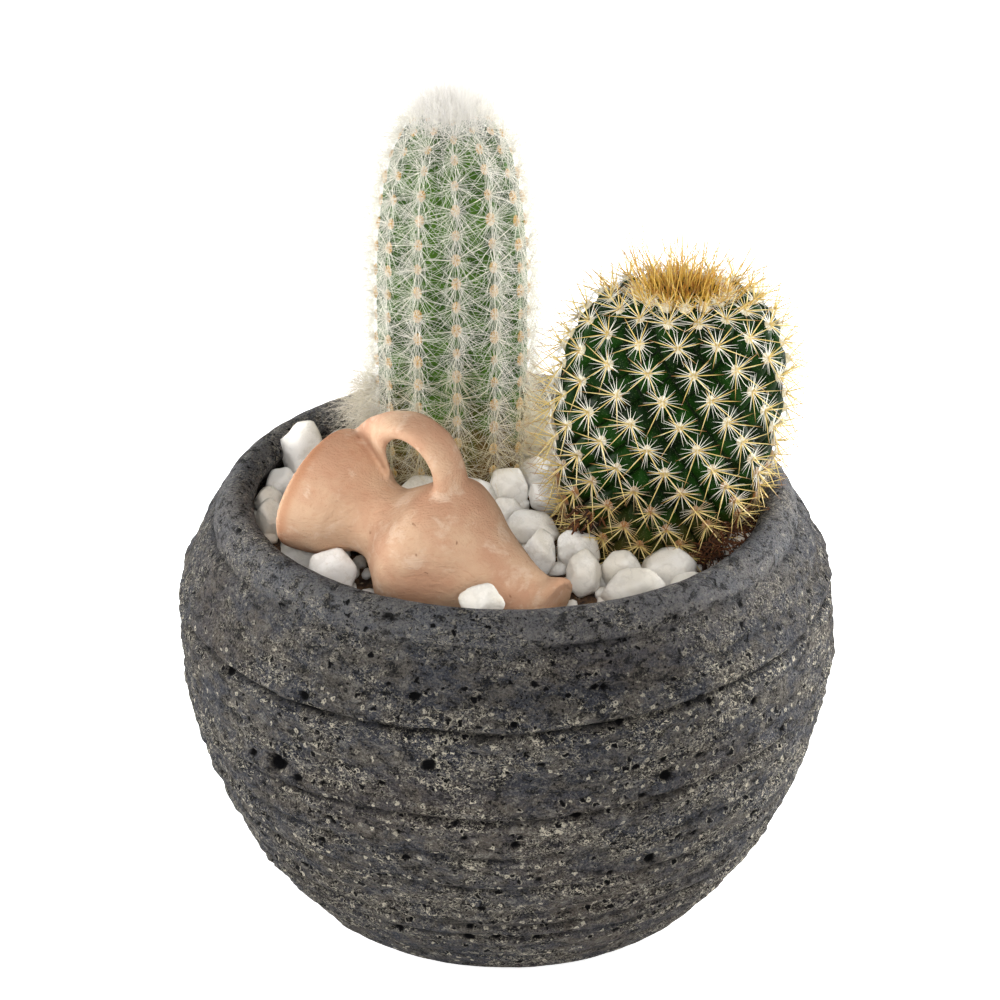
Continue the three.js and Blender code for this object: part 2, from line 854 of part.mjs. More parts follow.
object.add(makeJug());
makePebbles().forEach((pebble) => object.add(pebble));

export default object;
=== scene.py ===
import math

import bmesh
import bpy
import numpy as np
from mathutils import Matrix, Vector, noise


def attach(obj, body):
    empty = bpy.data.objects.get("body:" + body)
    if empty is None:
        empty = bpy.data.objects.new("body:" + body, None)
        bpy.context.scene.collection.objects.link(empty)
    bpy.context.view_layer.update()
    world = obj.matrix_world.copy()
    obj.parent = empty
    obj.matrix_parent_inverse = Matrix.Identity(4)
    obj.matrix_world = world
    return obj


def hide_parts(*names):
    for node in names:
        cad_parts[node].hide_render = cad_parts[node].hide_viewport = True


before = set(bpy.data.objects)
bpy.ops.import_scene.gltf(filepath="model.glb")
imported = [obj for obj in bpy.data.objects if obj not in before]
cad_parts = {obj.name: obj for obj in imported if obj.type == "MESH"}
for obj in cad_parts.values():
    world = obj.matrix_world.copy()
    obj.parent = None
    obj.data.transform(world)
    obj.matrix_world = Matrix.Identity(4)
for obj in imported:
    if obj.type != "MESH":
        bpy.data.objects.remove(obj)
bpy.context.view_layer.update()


# -------- pot
# A round pot thrown from a dark clay full of coarse grog and fired without a glaze. The thrower's
# fingers left rings, and grains that tore out or burnt away left pits and pale worm-like
# scratches. The lip is rolled over and smoother than the wall.

MM = 0.001
SLATE = "#4a4c54"
EARTH = "#69645e"
# The next two colours are painted shade for the cracks between the crags and a painted highlight on their
# crests.
CRACK_SHADE = "#151618"
CREST_HIGHLIGHT = "#a6a29a"
CREAM = "#e8dfca"

POT_WIDEST_RADIUS = 70.7
POT_WIDEST_HEIGHT = 65.5
POT_UPPER_REACH = 53
POT_LOWER_REACH = 84
POT_LOWER_POWER = 1.94
# Radius and height along the lip, from the outside over the top to the inside.
LIP = [(62.9, 89.5), (61.7, 92.3), (60.2, 94.5), (58.2, 95.4), (56.4, 95.2), (54.9, 93.9), (54.4, 91.6),
       (55.9, 89.2), (57.6, 86.6), (60.2, 82)]
POT_INSIDE = [(60.2, 82), (63.5, 72), (64.2, 60), (61.5, 44), (54, 28), (42, 14), (32, 9), (0, 9)]
# Height of each throwing ring, how deep it is cut, how much clay stands up above it, and how much
# it climbs from the middle to the right.
RINGS = [(9, 0.3, 0.1, 0), (18, 0.9, 0.5, 0.8), (22.5, 0.7, 0.5, 1.2), (27, 0.4, 0.2, 1), (35, 0.7, 0.6, 1.5),
         (44, 0.7, 0.6, 2.4), (54, 1.1, 1.1, 2.8), (64, 0.4, 0.4, 2), (74, 1.5, 1.4, 2), (81, 0.4, 0.4, 1.5),
         (89.3, 0.8, 0.7, 0.6)]
# The pits that are seen best: degrees from +X, height, radius and depth.
PITS = [(-132.5, 57, 2, 1.8), (-138.5, 56.4, 1.0, 1.0), (-127.5, 56, 1.0, 0.9), (-145, 72, 1.1, 1.1),
        (-103, 66.5, 1.5, 1.0), (-63, 60.5, 1.3, 1.0), (-78.5, 54.5, 1.0, 0.8), (-67, 57, 0.9, 0.9),
        (-64, 39, 1.1, 1.2), (-113, 24, 0.9, 0.9), (-98, 17, 1.0, 1.0), (-66, 16, 0.9, 0.8),
        (-28, 29, 1.3, 1.3), (-126, 75.5, 1.1, 0.9), (-152, 50, 1.2, 1.1), (-44, 70, 1.0, 0.9)]
MORE_PITS = 230
# Rows of the lip, from the wall up, on which the wall's roughness fades out.
ROUGH_LIP_ROWS = 16
POT_COLUMNS = 500


def tint(code):
    """A screen colour such as #cdbd9f as the linear colour that a shader takes."""
    shares = [int(code[i:i + 2], 16) / 255 for i in (1, 3, 5)]
    return (*[s / 12.92 if s <= 0.04045 else ((s + 0.055) / 1.055) ** 2.4 for s in shares], 1)


class Shade:
    """One output in the nodes of a material or a world. Arithmetic on it adds Math nodes, and add()
    any other."""

    def __init__(self, owner, socket=None):
        self.owner = owner
        self.socket = socket

    def add(self, kind, settings=None, values=None, out=0):
        """Adds a node. Its values may be outputs, numbers or screen colours."""
        tree = self.owner.node_tree
        node = tree.nodes.new(kind)
        for name, setting in (settings or {}).items():
            setattr(node, name, setting)
        for name, value in (values or {}).items():
            if isinstance(value, Shade):
                tree.links.new(value.socket, node.inputs[name])
            else:
                node.inputs[name].default_value = tint(value) if isinstance(value, str) else value
        return Shade(self.owner, node.outputs[out])

    def end(self, kind):
        """Makes this the surface of its material or world, and returns that."""
        tree = self.owner.node_tree
        tree.links.new(self.socket, tree.nodes.new(kind).inputs["Surface"])
        return self.owner

    def math(self, operation, *values):
        return self.add("ShaderNodeMath", {"operation": operation}, dict(enumerate(values)))

    def __add__(self, other):
        return self.math("ADD", self, other)

    def __sub__(self, other):
        return self.math("SUBTRACT", self, other)

    def __mul__(self, other):
        return self.math("MULTIPLY", self, other)

    __radd__ = __add__
    __rmul__ = __mul__

    def off(self, middle):
        """The distance from a middle value, whichever way."""
        return self.math("ABSOLUTE", self - middle)

    def rise(self, low, high):
        """0 at low and 1 at high, smooth between them. low may be the larger."""
        smooth = {"interpolation_type": "SMOOTHSTEP"}
        return self.add("ShaderNodeMapRange", smooth, {0: self, 1: low, 2: high})

    def mix(self, low, high):
        """This value mixes two colours."""
        return self.add("ShaderNodeMix", {"data_type": "RGBA"}, {0: self, 6: low, 7: high}, out=2)

    def stretched(self, x, y, z):
        """This place with each axis scaled, which stretches the pattern that reads it."""
        return self.add("ShaderNodeVectorMath", {"operation": "MULTIPLY"}, {0: self, 1: (x, y, z)})

    def cloud(self, size, detail=3, roughness=0.5):
        """Noise about 0.5 with lumps of that size in millimetres, at this place."""
        values = {"Vector": self, "Scale": 1 / (size * MM), "Detail": detail, "Roughness": roughness}
        return self.add("ShaderNodeTexNoise", None, values)

    def cells(self, size, out=0):
        """Cells of that size in millimetres. Output 0 is the distance from a cell's middle, and 1
        its colour."""
        return self.add("ShaderNodeTexVoronoi", None, {"Vector": self, "Scale": 1 / (size * MM)}, out=out)

    def dots(self, size, edge, core, least):
        """Dots in the cells of that size whose number is over least, from their edge to their core."""
        return self.cells(size).rise(edge, core) * self.cells(size, out=1).rise(least, least + 0.04)

    def warped(self, size, reach):
        """This place pushed about by lumps of that size, so that the pattern reading it is ragged."""
        lumps_there = {"Vector": self, "Scale": 1 / (size * MM), "Detail": 2}
        push = self.add("ShaderNodeTexNoise", None, lumps_there, out=1)
        shift = {0: push, 1: (reach * MM * 2,) * 3, 2: self}
        return self.add("ShaderNodeVectorMath", {"operation": "MULTIPLY_ADD"}, shift)

    def height(self):
        """How high this place stands, in metres."""
        return self.add("ShaderNodeSeparateXYZ", None, {"Vector": self}, out=2)

    def mark(self, name):
        """A number that the mesh carries at each point."""
        return self.add("ShaderNodeAttribute", {"attribute_name": name}, None, out=2)


def start_material(name):
    """The place on the object, from which the pattern of a new material starts."""
    material = bpy.data.materials.new(name)
    material.use_nodes = True
    material.node_tree.nodes.clear()
    return Shade(material).add("ShaderNodeTexCoord", out=3)


def end_material(place, colour, roughness, height, depth, **constants):
    """The material, from its colour and roughness and a bump as deep as depth in millimetres."""
    bump = place.add("ShaderNodeBump", None, {"Height": height, "Distance": depth * MM, "Strength": 1})
    values = {"Base Color": colour, "Roughness": roughness, "Normal": bump}
    values.update({name.replace("_", " "): value for name, value in constants.items()})
    return place.add("ShaderNodeBsdfPrincipled", None, values).end("ShaderNodeOutputMaterial")


def smooth_curve(points, count):
    """Points at even steps along a smooth curve through the given points."""
    points = np.asarray(points, float)
    padded = np.vstack([2 * points[0] - points[1], points, 2 * points[-1] - points[-2]])
    fine = []
    for i in range(len(points) - 1):
        a, b, c, d = padded[i:i + 4]
        t = np.linspace(0, 1, 40, endpoint=False)[:, None]
        bend = (2 * a - 5 * b + 4 * c - d) * t ** 2 + (3 * b - a - 3 * c + d) * t ** 3
        fine.append(0.5 * (2 * b + (c - a) * t + bend))
    fine = np.vstack([*fine, points[-1:]])
    length = np.concatenate([[0], np.cumsum(np.linalg.norm(np.diff(fine, axis=0), axis=1))])
    steps = np.linspace(0, length[-1], count)
    return np.column_stack([np.interp(steps, length, axis) for axis in fine.T])


def add_mark(mesh, name, values):
    """Gives each point of a mesh a number that its material can read."""
    mark = mesh.attributes.new(name, "FLOAT", "POINT")
    mark.data.foreach_set("value", np.ravel(values).astype(np.float32))


def add_piece(name, points, material, slot, *nodes, faces=None, marks=None):
    """A mesh from points in millimetres that rides on the pot and stands for those CAD nodes. Where
    no faces are given, the points stand in rows round a closed skin."""
    mesh = bpy.data.meshes.new(name)
    mesh.from_pydata((points.reshape(-1, 3) * MM).tolist(), [], faces or grid_faces(points))
    mesh.shade_smooth()
    for label, values in (marks or {}).items():
        add_mark(mesh, label, values)
    mesh.materials.append(material)
    piece = bpy.data.objects.new(name, mesh)
    bpy.context.scene.collection.objects.link(piece)
    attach(piece, "root")
    if nodes:
        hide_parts(*nodes)
    return piece


def over_grid(columns, *rows):
    """The angle of each column of a grid, then each list of values, one for each of its rows, all
    spread over the whole grid."""
    angle = np.tile(np.linspace(0, math.tau, columns, endpoint=False), (len(rows[0]), 1))
    return angle, *[np.repeat(row[:, None], columns, axis=1) for row in rows]


def round_points(radius, angle, height):
    """The points at those distances and angles from the Z axis."""
    return np.stack([radius * np.cos(angle), radius * np.sin(angle), height], axis=-1)


def grid_faces(points):
    """The faces of a closed skin whose points stand in rows round it, with its two ends."""
    rows, columns = points.shape[:2]
    row, column = np.meshgrid(np.arange(rows - 1), np.arange(columns), indexing="ij")
    near = row * columns + column
    beside = row * columns + (column + 1) % columns
    quads = np.stack([near, beside, beside + columns, near + columns], axis=-1).reshape(-1, 4)
    last = (rows - 1) * columns
    return quads.tolist() + [list(range(columns))[::-1], list(range(last, last + columns))]


def lumps(points, size, octaves=3, shift=0.0):
    """Noise of about -1 to 1 with lumps of that size, at each point."""
    spots = (points / size + shift).reshape(-1, 3).tolist()
    values = [noise.fractal(spot, 0.9, 2, octaves) for spot in spots]
    return np.reshape(values, points.shape[:-1])


def pot_radius(height):
    """The plain outside radius of the pot."""
    above = 1 - ((height - POT_WIDEST_HEIGHT) / POT_UPPER_REACH) ** 2
    below = 1 - (np.abs(POT_WIDEST_HEIGHT - height) / POT_LOWER_REACH) ** POT_LOWER_POWER
    return POT_WIDEST_RADIUS * np.where(height > POT_WIDEST_HEIGHT, np.sqrt(np.abs(above)),
                                        np.abs(below) ** (1 / POT_LOWER_POWER))


def make_pot():
    rng = np.random.default_rng(3)
    wall_heights = np.linspace(2.2, 88.4, 132)
    wall = np.column_stack([pot_radius(wall_heights), wall_heights])
    foot = [(0.5, 0.8), (20, 0.5), (33, 0), (37.4, 0), (38.8, 0.4), (40, 1.2)]
    lip = smooth_curve(LIP, 34)
    inside = smooth_curve(POT_INSIDE, 22)[1:]
    inside[-1, 0] = 0.5
    profile = np.vstack([foot, wall, lip, inside])
    is_wall = np.zeros(len(profile))
    wall_end = len(foot) + len(wall)
    is_wall[len(foot):wall_end] = 1
    is_wall[wall_end:wall_end + ROUGH_LIP_ROWS] = np.linspace(0.95, 0.35, ROUGH_LIP_ROWS)
    is_wall[len(foot):len(foot) + 3] = [0.3, 0.6, 0.9]
    angle, radius, height, is_wall = over_grid(POT_COLUMNS, *profile.T, is_wall)

    spots = round_points(radius, angle, height)
    flat_spots = spots * [0.4, 0.4, 1]
    wander = lumps(spots * [1, 1, 0.5], 38, 2)
    strength = 0.8 + 0.55 * lumps(spots * [1, 1, 0.2], 17, 2, 5.2)
    relief = 0.4 * lumps(flat_spots, 4.2, 3, 1.7) + 0.42 * lumps(flat_spots * [1.4, 1.4, 1], 1.9, 2, 8.1)
    relief = relief * (1 - np.clip((height - 76) / 8, 0, 1) * 0.45)
    crease_shade, ledge = np.zeros(radius.shape), np.zeros(radius.shape)
    for ring, cut, stand, climb in RINGS:
        away = height - ring - 1.1 * wander - climb * np.cos(angle)
        relief -= strength * cut * np.exp(-(away / 0.62) ** 2)
        above, below = np.exp(-((away - 2.6) / 2) ** 2), np.exp(-((away + 2.2) / 1.3) ** 2)
        relief += strength * stand * (above + 0.6 * below)
        crease_shade += strength * cut * np.exp(-((away + 0.1) / 0.6) ** 2)
        ledge += strength * cut * np.exp(-((away + 1.5) / 0.55) ** 2)
    relief *= is_wall
    shape_drift = 0.35 * lumps(spots * [1, 1, 0.4], 45, 1, 3.3)

    pit_shade = np.zeros(radius.shape)
    ragged = 1 + 0.3 * lumps(spots, 1.4, 1, 4.4)
    pits = [(math.radians(a), h, r, d) for a, h, r, d in PITS]
    for _ in range(MORE_PITS):
        size = rng.uniform(0.45, 1.0)
        turn, pit_height = rng.uniform(-math.pi, math.pi), rng.uniform(5, 93.5)
        pits.append((turn, pit_height, size, size * rng.uniform(0.8, 1.1)))
    for pit_angle, pit_height, size, depth in pits:
        turn = np.abs((angle - pit_angle + math.pi) % math.tau - math.pi)
        away = np.hypot(turn * radius / 1.25, height - pit_height) * ragged / size
        relief -= is_wall * depth * np.exp(-away ** 4)
        relief += is_wall * 0.22 * np.exp(-((away - 1.35) / 0.35) ** 2)
        pit_shade = np.maximum(pit_shade, np.exp(-away ** 4))
    lip_lumps = 0.18 * lumps(spots, 4, 3, 2.2)
    radius = radius + relief + shape_drift * is_wall + lip_lumps * (height > 5)
    # The pit and groove marks tell the material where to paint shade.
    marks = {"pit_shade": pit_shade * is_wall, "crease_shade": crease_shade * is_wall, "ledge": ledge * is_wall}
    return round_points(radius, angle, height), marks


def pot_material():
    place = start_material("pot_stoneware")
    height = place.height()
    low = height.rise(0.088, 0.074)
    wide = place.stretched(0.55, 0.55, 1)
    torn = wide.warped(2.2, 1.7)
    mottle = torn.cloud(5, 6, 0.74)
    colour = mottle.rise(0.42, 0.6).mix(SLATE, EARTH)
    colour = (wide.cloud(28).rise(0.5, 0.66) * 0.25).mix(colour, "#6f5f50")
    colour = (height.rise(0.085, 0.093) * 0.4).mix(colour, "#8e8f92")
    # Crags: the skin is torn into small lumps. The cracks between them get painted shade and their crests a
    # painted highlight.
    crags = torn.cloud(1.9, 5, 0.7)
    colour = (crags.rise(0.5, 0.38) * 0.85).mix(colour, CRACK_SHADE)
    lit_crests = crags.rise(0.55, 0.66) * (0.5 + 0.5 * low)
    colour = (lit_crests * 0.5).mix(colour, CREST_HIGHLIGHT)
    patchy = wide.cloud(8, 4, 0.6).rise(0.43, 0.6)
    lively = (0.6 + 0.4 * low) * (0.25 + 0.75 * patchy)
    grit = place.warped(0.6, 0.4).cloud(0.45, 3, 0.65)
    colour = (grit.rise(0.47, 0.38) * (0.45 + 0.55 * lively)).mix(colour, "#0b0b0e")
    colour = (grit.rise(0.55, 0.66) * (0.15 + 0.6 * lively)).mix(colour, "#bab29f")
    # Pale lips of clay curl here and there, each with a dark line of painted shadow beside it, and a few
    # grains of grog show as cream rings.
    clusters = (patchy + place.mark("ledge")) * (0.45 + 0.55 * low)
    field = torn.cloud(2.1, 3, 0.62)
    broken = place.warped(1, 1).cloud(1.3, 3, 0.6).rise(0.48, 0.54) * clusters
    worms = field.off(0.5).rise(0.022, 0.006) * broken
    under = field.off(0.462).rise(0.026, 0.01) * broken
    thread_field = wide.warped(1.1, 0.8).cloud(1.1, 3, 0.62)
    threads = thread_field.off(0.5).rise(0.022, 0.005) * place.cloud(0.9).rise(0.5, 0.57) * clusters
    jagged = place.warped(0.6, 0.6)
    chosen_grains = jagged.cells(1.9, out=1).rise(0.7, 0.74) * (0.3 + 0.7 * low)
    grains = jagged.cells(1.9).off(0.2).rise(0.11, 0.05) * chosen_grains
    specks = jagged.dots(0.6, 0.42, 0.26, 0.68) * lively
    uneven = place.warped(1.4, 1.3)
    chosen = uneven.cells(2.6, out=1).rise(0.6, 0.65)
    deep_hole = uneven.cells(2.6).rise(0.28, 0.17) * chosen
    rim = uneven.cells(2.6).off(0.33).rise(0.06, 0.02) * chosen * place.cloud(1.2, 2).rise(0.46, 0.58)
    small_hole = jagged.dots(1.2, 0.26, 0.16, 0.52)
    # Painted shadow: a dark line beside each pale lip of clay.
    colour = (under * 0.85).mix(colour, "#08080a")
    pale = worms + threads * 0.75 + grains * 0.8 + specks * 0.6 + rim * 0.6 * low
    colour = pale.mix(colour, CREAM)
    # Painted shade: the pits, the small holes and the groove of each throwing ring are darkened nearly to
    # black.
    pit_and_groove_shade = deep_hole + small_hole * 0.9 + place.mark("pit_shade").rise(0.25, 0.8) + place.mark("crease_shade") * 0.75
    colour = pit_and_groove_shade.mix(colour, "#060608")
    bump = crags * 1.4 + mottle * 0.6 + grit * 0.5 - deep_hole * 0.5 - small_hole * 0.3 + pale * 0.14
    roughness = 0.72 + 0.2 * mottle.rise(0.3, 0.7) - 0.12 * height.rise(0.08, 0.092)
    return end_material(place, colour, roughness, bump, 4, Specular_IOR_Level=0.08)


pot_points, pot_marks = make_pot()
add_piece("pot_wall", pot_points, pot_material(), "pot", "pot", marks=pot_marks)


# -------- soil
# Loose potting soil that fills the pot to just under its lip, with crumbs of bark and white grit.
# It shows only as dark gaps among the pebbles.

SOIL_TOP = 82
SOIL_BOTTOM = 60
SOIL_RADIUS = 59.6


def make_soil():
    angle, radius = over_grid(260, np.linspace(SOIL_RADIUS, 0.5, 74))
    top = round_points(radius, angle, radius * 0)
    top[..., 2] = SOIL_TOP + 0.5 * lumps(top, 4.5, 4, 1.1) + 0.4 * lumps(top, 1.4, 2, 6.1)
    under = top[:1].copy()
    under[..., 2] = SOIL_BOTTOM
    return np.vstack([under, top])


def soil_material():
    place = start_material("potting_soil")
    crumbs = place.cloud(1.6, 5, 0.65)
    colour = crumbs.rise(0.35, 0.65).mix("#2a1d13", "#6d5138")
    grit = place.dots(1.3, 0.3, 0.2, 0.62)
    colour = grit.mix(colour, "#b3a68e")
    return end_material(place, colour, 0.95, crumbs + grit * 0.3, 1.2)


add_piece("soil_bed", make_soil(), soil_material(), "soil", "soil")


# -------- pebbles
# Tumbled white marble pebbles laid over the soil, each a separate stone with a few soft edges
# left from the broken piece that it was. Small chips of the same marble lie in the gaps.

STONE_ROUNDING = 15
STONE_DETAIL = 4
# The stones against the jug and the lip fill their places more: growth and shift along X, Y, Z.
FULLER_STONES = {"pebble_01": ((1.15, 1.1, 1.08), (-1.2, 0.4, 0.8)),
                 "pebble_06": ((1.2, 1.1, 1.9), (0.2, 0.6, 2.2)),
                 "pebble_07": ((1.2, 1, 1.15), (1.2, 0.3, 1.2))}
CHIPS = 620
CHIP_SIZES = (0.9, 2.9)
CHIP_REACH = 57.5
# Where the stems stand, and how far from there they keep the chips.
STEMS = [((-12, 33), 15.5), ((31.2, 3), 17.5)]


def stone_ball(detail):
    """The points and faces of a finely divided ball."""
    ball = bmesh.new()
    bmesh.ops.create_icosphere(ball, subdivisions=detail, radius=1)
    points = np.array([v.co[:] for v in ball.verts])
    faces = [[v.index for v in face.verts] for face in ball.faces]
    ball.free()
    return points, faces


def add_copies(name, shapes, faces, material, slot, marks=None):
    """One piece made of many separate shapes that all have those faces."""
    corners = len(shapes[0])
    copies = [[corner + i * corners for corner in face] for i in range(len(shapes)) for face in faces]
    add_piece(name, np.vstack(shapes), material, slot, faces=copies, marks=marks)


def corners_of(mesh):
    """A mesh's points in millimetres."""
    return np.array([v.co[:] for v in mesh.vertices]) / MM


def rounded_stone(directions, corners, flats):
    """Points of a stone with those flat sides, blended into each other. flats are the outward
    normals of the sides, and corners a point on each."""
    reach = np.einsum("ij,ij->i", corners, flats)
    facing = np.clip(directions @ flats.T, 0, None) / reach
    return directions / ((facing ** STONE_ROUNDING).sum(axis=1) ** (1 / STONE_ROUNDING))[:, None]


def marble_material():
    place = start_material("white_marble")
    warm = place.cloud(14)
    colour = warm.rise(0.35, 0.65).mix("#edeae5", "#e0d9cc")
    veins = place.stretched(1, 0.6, 1.3).cloud(7, 5, 0.6).off(0.5).rise(0.05, 0)
    colour = (veins * 0.3).mix(colour, "#c4beb4")
    dust = place.cloud(2.6, 4, 0.6).rise(0.58, 0.72)
    colour = (dust * 0.22).mix(colour, "#b9a88e")
    grain = place.cloud(0.45, 3, 0.6)
    return end_material(place, colour, 0.5 + 0.2 * warm, grain + veins * -0.3, 0.16, Specular_IOR_Level=0.4,
                        Subsurface_Weight=0.12, Subsurface_Radius=(1, 0.9, 0.8), Subsurface_Scale=0.0015)


def make_pebbles():
    marble = marble_material()
    directions, faces = stone_ball(STONE_DETAIL)
    names = sorted(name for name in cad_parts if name.startswith("pebble_"))
    for number, name in enumerate(names):
        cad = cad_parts[name].data
        corners = corners_of(cad)
        middle = (corners.min(axis=0) + corners.max(axis=0)) / 2
        flats = np.array([polygon.normal[:] for polygon in cad.polygons])
        on_flat = np.array([corners[polygon.vertices[0]] for polygon in cad.polygons]) - middle
        stone = rounded_stone(directions, on_flat, flats)
        stone += directions * 0.2 * lumps(stone, 2.8, 3, number)[:, None]
        size = corners.max(axis=0) - corners.min(axis=0)
        stone = (stone - (stone.max(axis=0) + stone.min(axis=0)) / 2) * size * 1.03 / np.ptp(stone, axis=0)
        growth, shift = FULLER_STONES.get(name, ((1, 1, 1), (0, 0, 0)))
        add_piece(f"marble_{name}", stone * growth + middle + shift, marble, "marble", name, faces=faces)
    return marble


def make_chips(marble):
    """Small chips strewn on the soil, clear of the stems."""
    rng = np.random.default_rng(12)
    directions, faces = stone_ball(2)
    chips = []
    for _ in range(CHIPS):
        reach = CHIP_REACH * math.sqrt(rng.uniform(0, 1))
        turn = rng.uniform(-math.pi, math.pi)
        place = np.array([reach * math.cos(turn), reach * math.sin(turn)])
        size = rng.uniform(*CHIP_SIZES)
        if any(math.dist(place, stem) < room + size for stem, room in STEMS):
            continue
        flats = np.vstack([rng.normal(size=(12, 3)), np.eye(3), -np.eye(3)])
        flats /= np.linalg.norm(flats, axis=1)[:, None]
        stone = rounded_stone(directions, flats * rng.uniform(0.75, 1.1, (len(flats), 1)), flats)
        stone = stone * size * rng.uniform(0.6, 1, 3)
        chips.append(stone + [*place, SOIL_TOP + 0.4 + size * 0.35])
    add_copies("marble_chips", chips, faces, marble, "marble")


make_chips(make_pebbles())


# -------- columnar cactus
# An old-man-like columnar cactus with low ribs. Each rib bears a row of felted areoles, and each
# areole a star of straight white spines and a lock of long hair, white at the top of the plant and
# straw-coloured below. A cap of upright wool hides the growing tip.

COLUMN_PLACE = np.array([-12, 33, SOIL_TOP])
COLUMN_RIBS = 12
COLUMN_RIB_DEPTH = 2.2
# Radius and height above the soil.
COLUMN_OUTLINE = [(14.6, -6), (15.2, 0), (16, 10), (16.5, 30), (16.4, 51), (15.3, 65), (13.3, 75), (11, 80.8),
                  (8, 84.4), (3.9, 86.2), (0.3, 86.6)]
# The ribs' turn from the X axis.
COLUMN_TURN = math.radians(4)
# The outline's length, the distances along it of the lowest and highest areole, and the spacing.
COLUMN_LENGTH = 98.8
LOWEST_AREOLE = 7.8
HIGHEST_AREOLE = 95.3
AREOLE_SPACING = 5.3
# Above this height of the object the spines and felt are shorter.
COLUMN_SHOULDER = 156
# How many straight spines and long hairs one areole bears.
COLUMN_SPINES = 18
NEAR_HAIRS = 16
FAR_HAIRS = 18
# How many hairs each half of the haze has, then the cap and the fallen lock.
HAZE_HAIRS = 4200
WOOL_HAIRS = 2300
TUFT_HAIRS = 800
# Where the cap starts above the soil, and below which height of the object the hair droops more.
WOOL_BASE = 85
DROOP_TOP = 112


def meridian(outline):
    """Gives, at any shares of the outline's length, its radius and height, and the outward and
    upward parts of the skin's direction."""
    fine = smooth_curve(outline, 900)
    along = np.gradient(fine, axis=0)
    along /= np.linalg.norm(along, axis=1, keepdims=True)
    index = np.linspace(0, 1, 900)
    return lambda share: [np.interp(share, index, row) for row in (*fine.T, along[:, 1], -along[:, 0])]


COLUMN_MERIDIAN = meridian(COLUMN_OUTLINE)


def strands(name, rng, roots, paths, thick, material, slot="wool", tones=None, tip=0.2):
    """Thin three-sided spines or hairs, one for each path. thick is the radius at the root, or the
    range that it is drawn from, and tip the share of it that is left at the end. A strand's tone is
    its place between its material's two colours."""
    paths = paths + roots[:, None]
    count, steps = paths.shape[:2]
    thick = rng.uniform(*thick, count) if isinstance(thick, tuple) else thick
    tones = rng.uniform(0, 1, count) if tones is None else tones
    forward = np.gradient(paths, axis=1)
    forward /= np.linalg.norm(forward, axis=2, keepdims=True) + 1e-9
    other = np.where(np.abs(forward[:, :1, 2:]) > 0.8, [[[1.0, 0, 0]]], [[[0, 0, 1.0]]])
    side = np.cross(forward, other)
    side /= np.linalg.norm(side, axis=2, keepdims=True) + 1e-9
    over = np.cross(forward, side)
    along = np.linspace(0, 1, steps)
    width = np.broadcast_to(thick, (count,))[:, None] * (1 - (1 - tip) * along ** 1.6)
    corners = []
    for turn in (0, math.tau / 3, 2 * math.tau / 3):
        corners.append(paths + width[..., None] * (side * math.cos(turn) + over * math.sin(turn)))
    points = np.stack(corners, axis=2)
    marks = {"along": np.tile(np.repeat(along, 3), count), "tone": np.repeat(tones, steps * 3)}
    add_copies(name, points.reshape(count, -1, 3), grid_faces(points[0]), material, slot, marks)


def frame_at(angle, out, up):
    """The outward, sideways and climbing directions of a skin at an angle round its stem."""
    outward = round_points(out, angle, up)
    sideways = np.column_stack([-np.sin(angle), np.cos(angle), angle * 0])
    return outward, sideways, np.cross(outward, sideways)


def splayed(directions, owner, turn, lift):
    """Directions of spines on their areoles. turn goes round the areole, and lift stands them up."""
    outward, sideways, climbing = [direction[owner] for direction in directions]
    around = sideways * np.cos(turn)[:, None] + climbing * np.sin(turn)[:, None]
    return outward * lift[:, None] + around


def spine_paths(heading, lengths, steps, bow=0.0):
    """Paths of spines from the origin, each bent to a side by its bow."""
    heading = heading / np.linalg.norm(heading, axis=1, keepdims=True)
    bow = np.broadcast_to(bow, heading.shape)
    t = np.linspace(0, 1, steps)
    reach, bend = t * lengths[:, None], t * t * lengths[:, None]
    return heading[:, None] * reach[..., None] + bow[:, None] * bend[..., None]


def hair_paths(rng, starts, lengths, steps, curl, droop):
    """Paths of fine hairs from the origin: each starts in its own direction, wanders and droops."""
    count = len(starts)
    heading = starts / np.linalg.norm(starts, axis=1, keepdims=True)
    points = [np.zeros((count, 3))]
    bend = rng.normal(size=(count, 3)) * curl
    for _ in range(steps - 1):
        bend = 0.72 * bend + rng.normal(size=(count, 3)) * curl * 0.6
        heading = heading + bend + [0, 0, -1] * np.asarray(droop).reshape(-1, 1)
        heading /= np.linalg.norm(heading, axis=1, keepdims=True)
        points.append(points[-1] + heading * (lengths / (steps - 1))[:, None])
    return np.stack(points, axis=1)


def column_skin():
    angle, share = over_grid(240, np.linspace(0, 1, 160))
    radius, height, out, up = COLUMN_MERIDIAN(share)
    valley = 1 - np.abs(np.cos((angle - COLUMN_TURN) * COLUMN_RIBS / 2)) ** 0.8
    sunk = valley * COLUMN_RIB_DEPTH * np.clip((1 - share) * 7, 0, 1)
    points = round_points(radius - sunk * out, angle, height - sunk * up)
    points += lumps(points, 3, 2)[..., None] * 0.12 * points / 16
    return points + COLUMN_PLACE


def column_areoles():
    """Angle and share of the outline's length of each areole. The ribs' rows are staggered."""
    angles, shares = [], []
    for rib in range(COLUMN_RIBS):
        reach = LOWEST_AREOLE + rib % 2 * AREOLE_SPACING / 2
        while reach < HIGHEST_AREOLE:
            angles.append(rib * math.tau / COLUMN_RIBS + COLUMN_TURN)
            shares.append(reach / COLUMN_LENGTH)
            reach += AREOLE_SPACING if reach < 80 else AREOLE_SPACING - 0.9
    return np.array(angles), np.array(shares)


def add_pads(name, rng, seats, directions, size, vary, grown, ragged, material):
    """A pad of felt on each areole. size is half its thickness, width and height, vary a range of
    factors on that, grown a factor for each areole, and ragged the lumps' size and height."""
    ball, faces = stone_ball(2)
    pads = []
    for seat, factor, *axes in zip(seats, grown, *directions):
        pad = ball * size * rng.uniform(*vary) * factor
        pad = pad + ball * lumps(ball, ragged[0], 1, rng.uniform(0, 50))[:, None] * ragged[1]
        pads.append(seat + pad @ np.array(axes))
    add_copies(name, pads, faces, material, "wool")


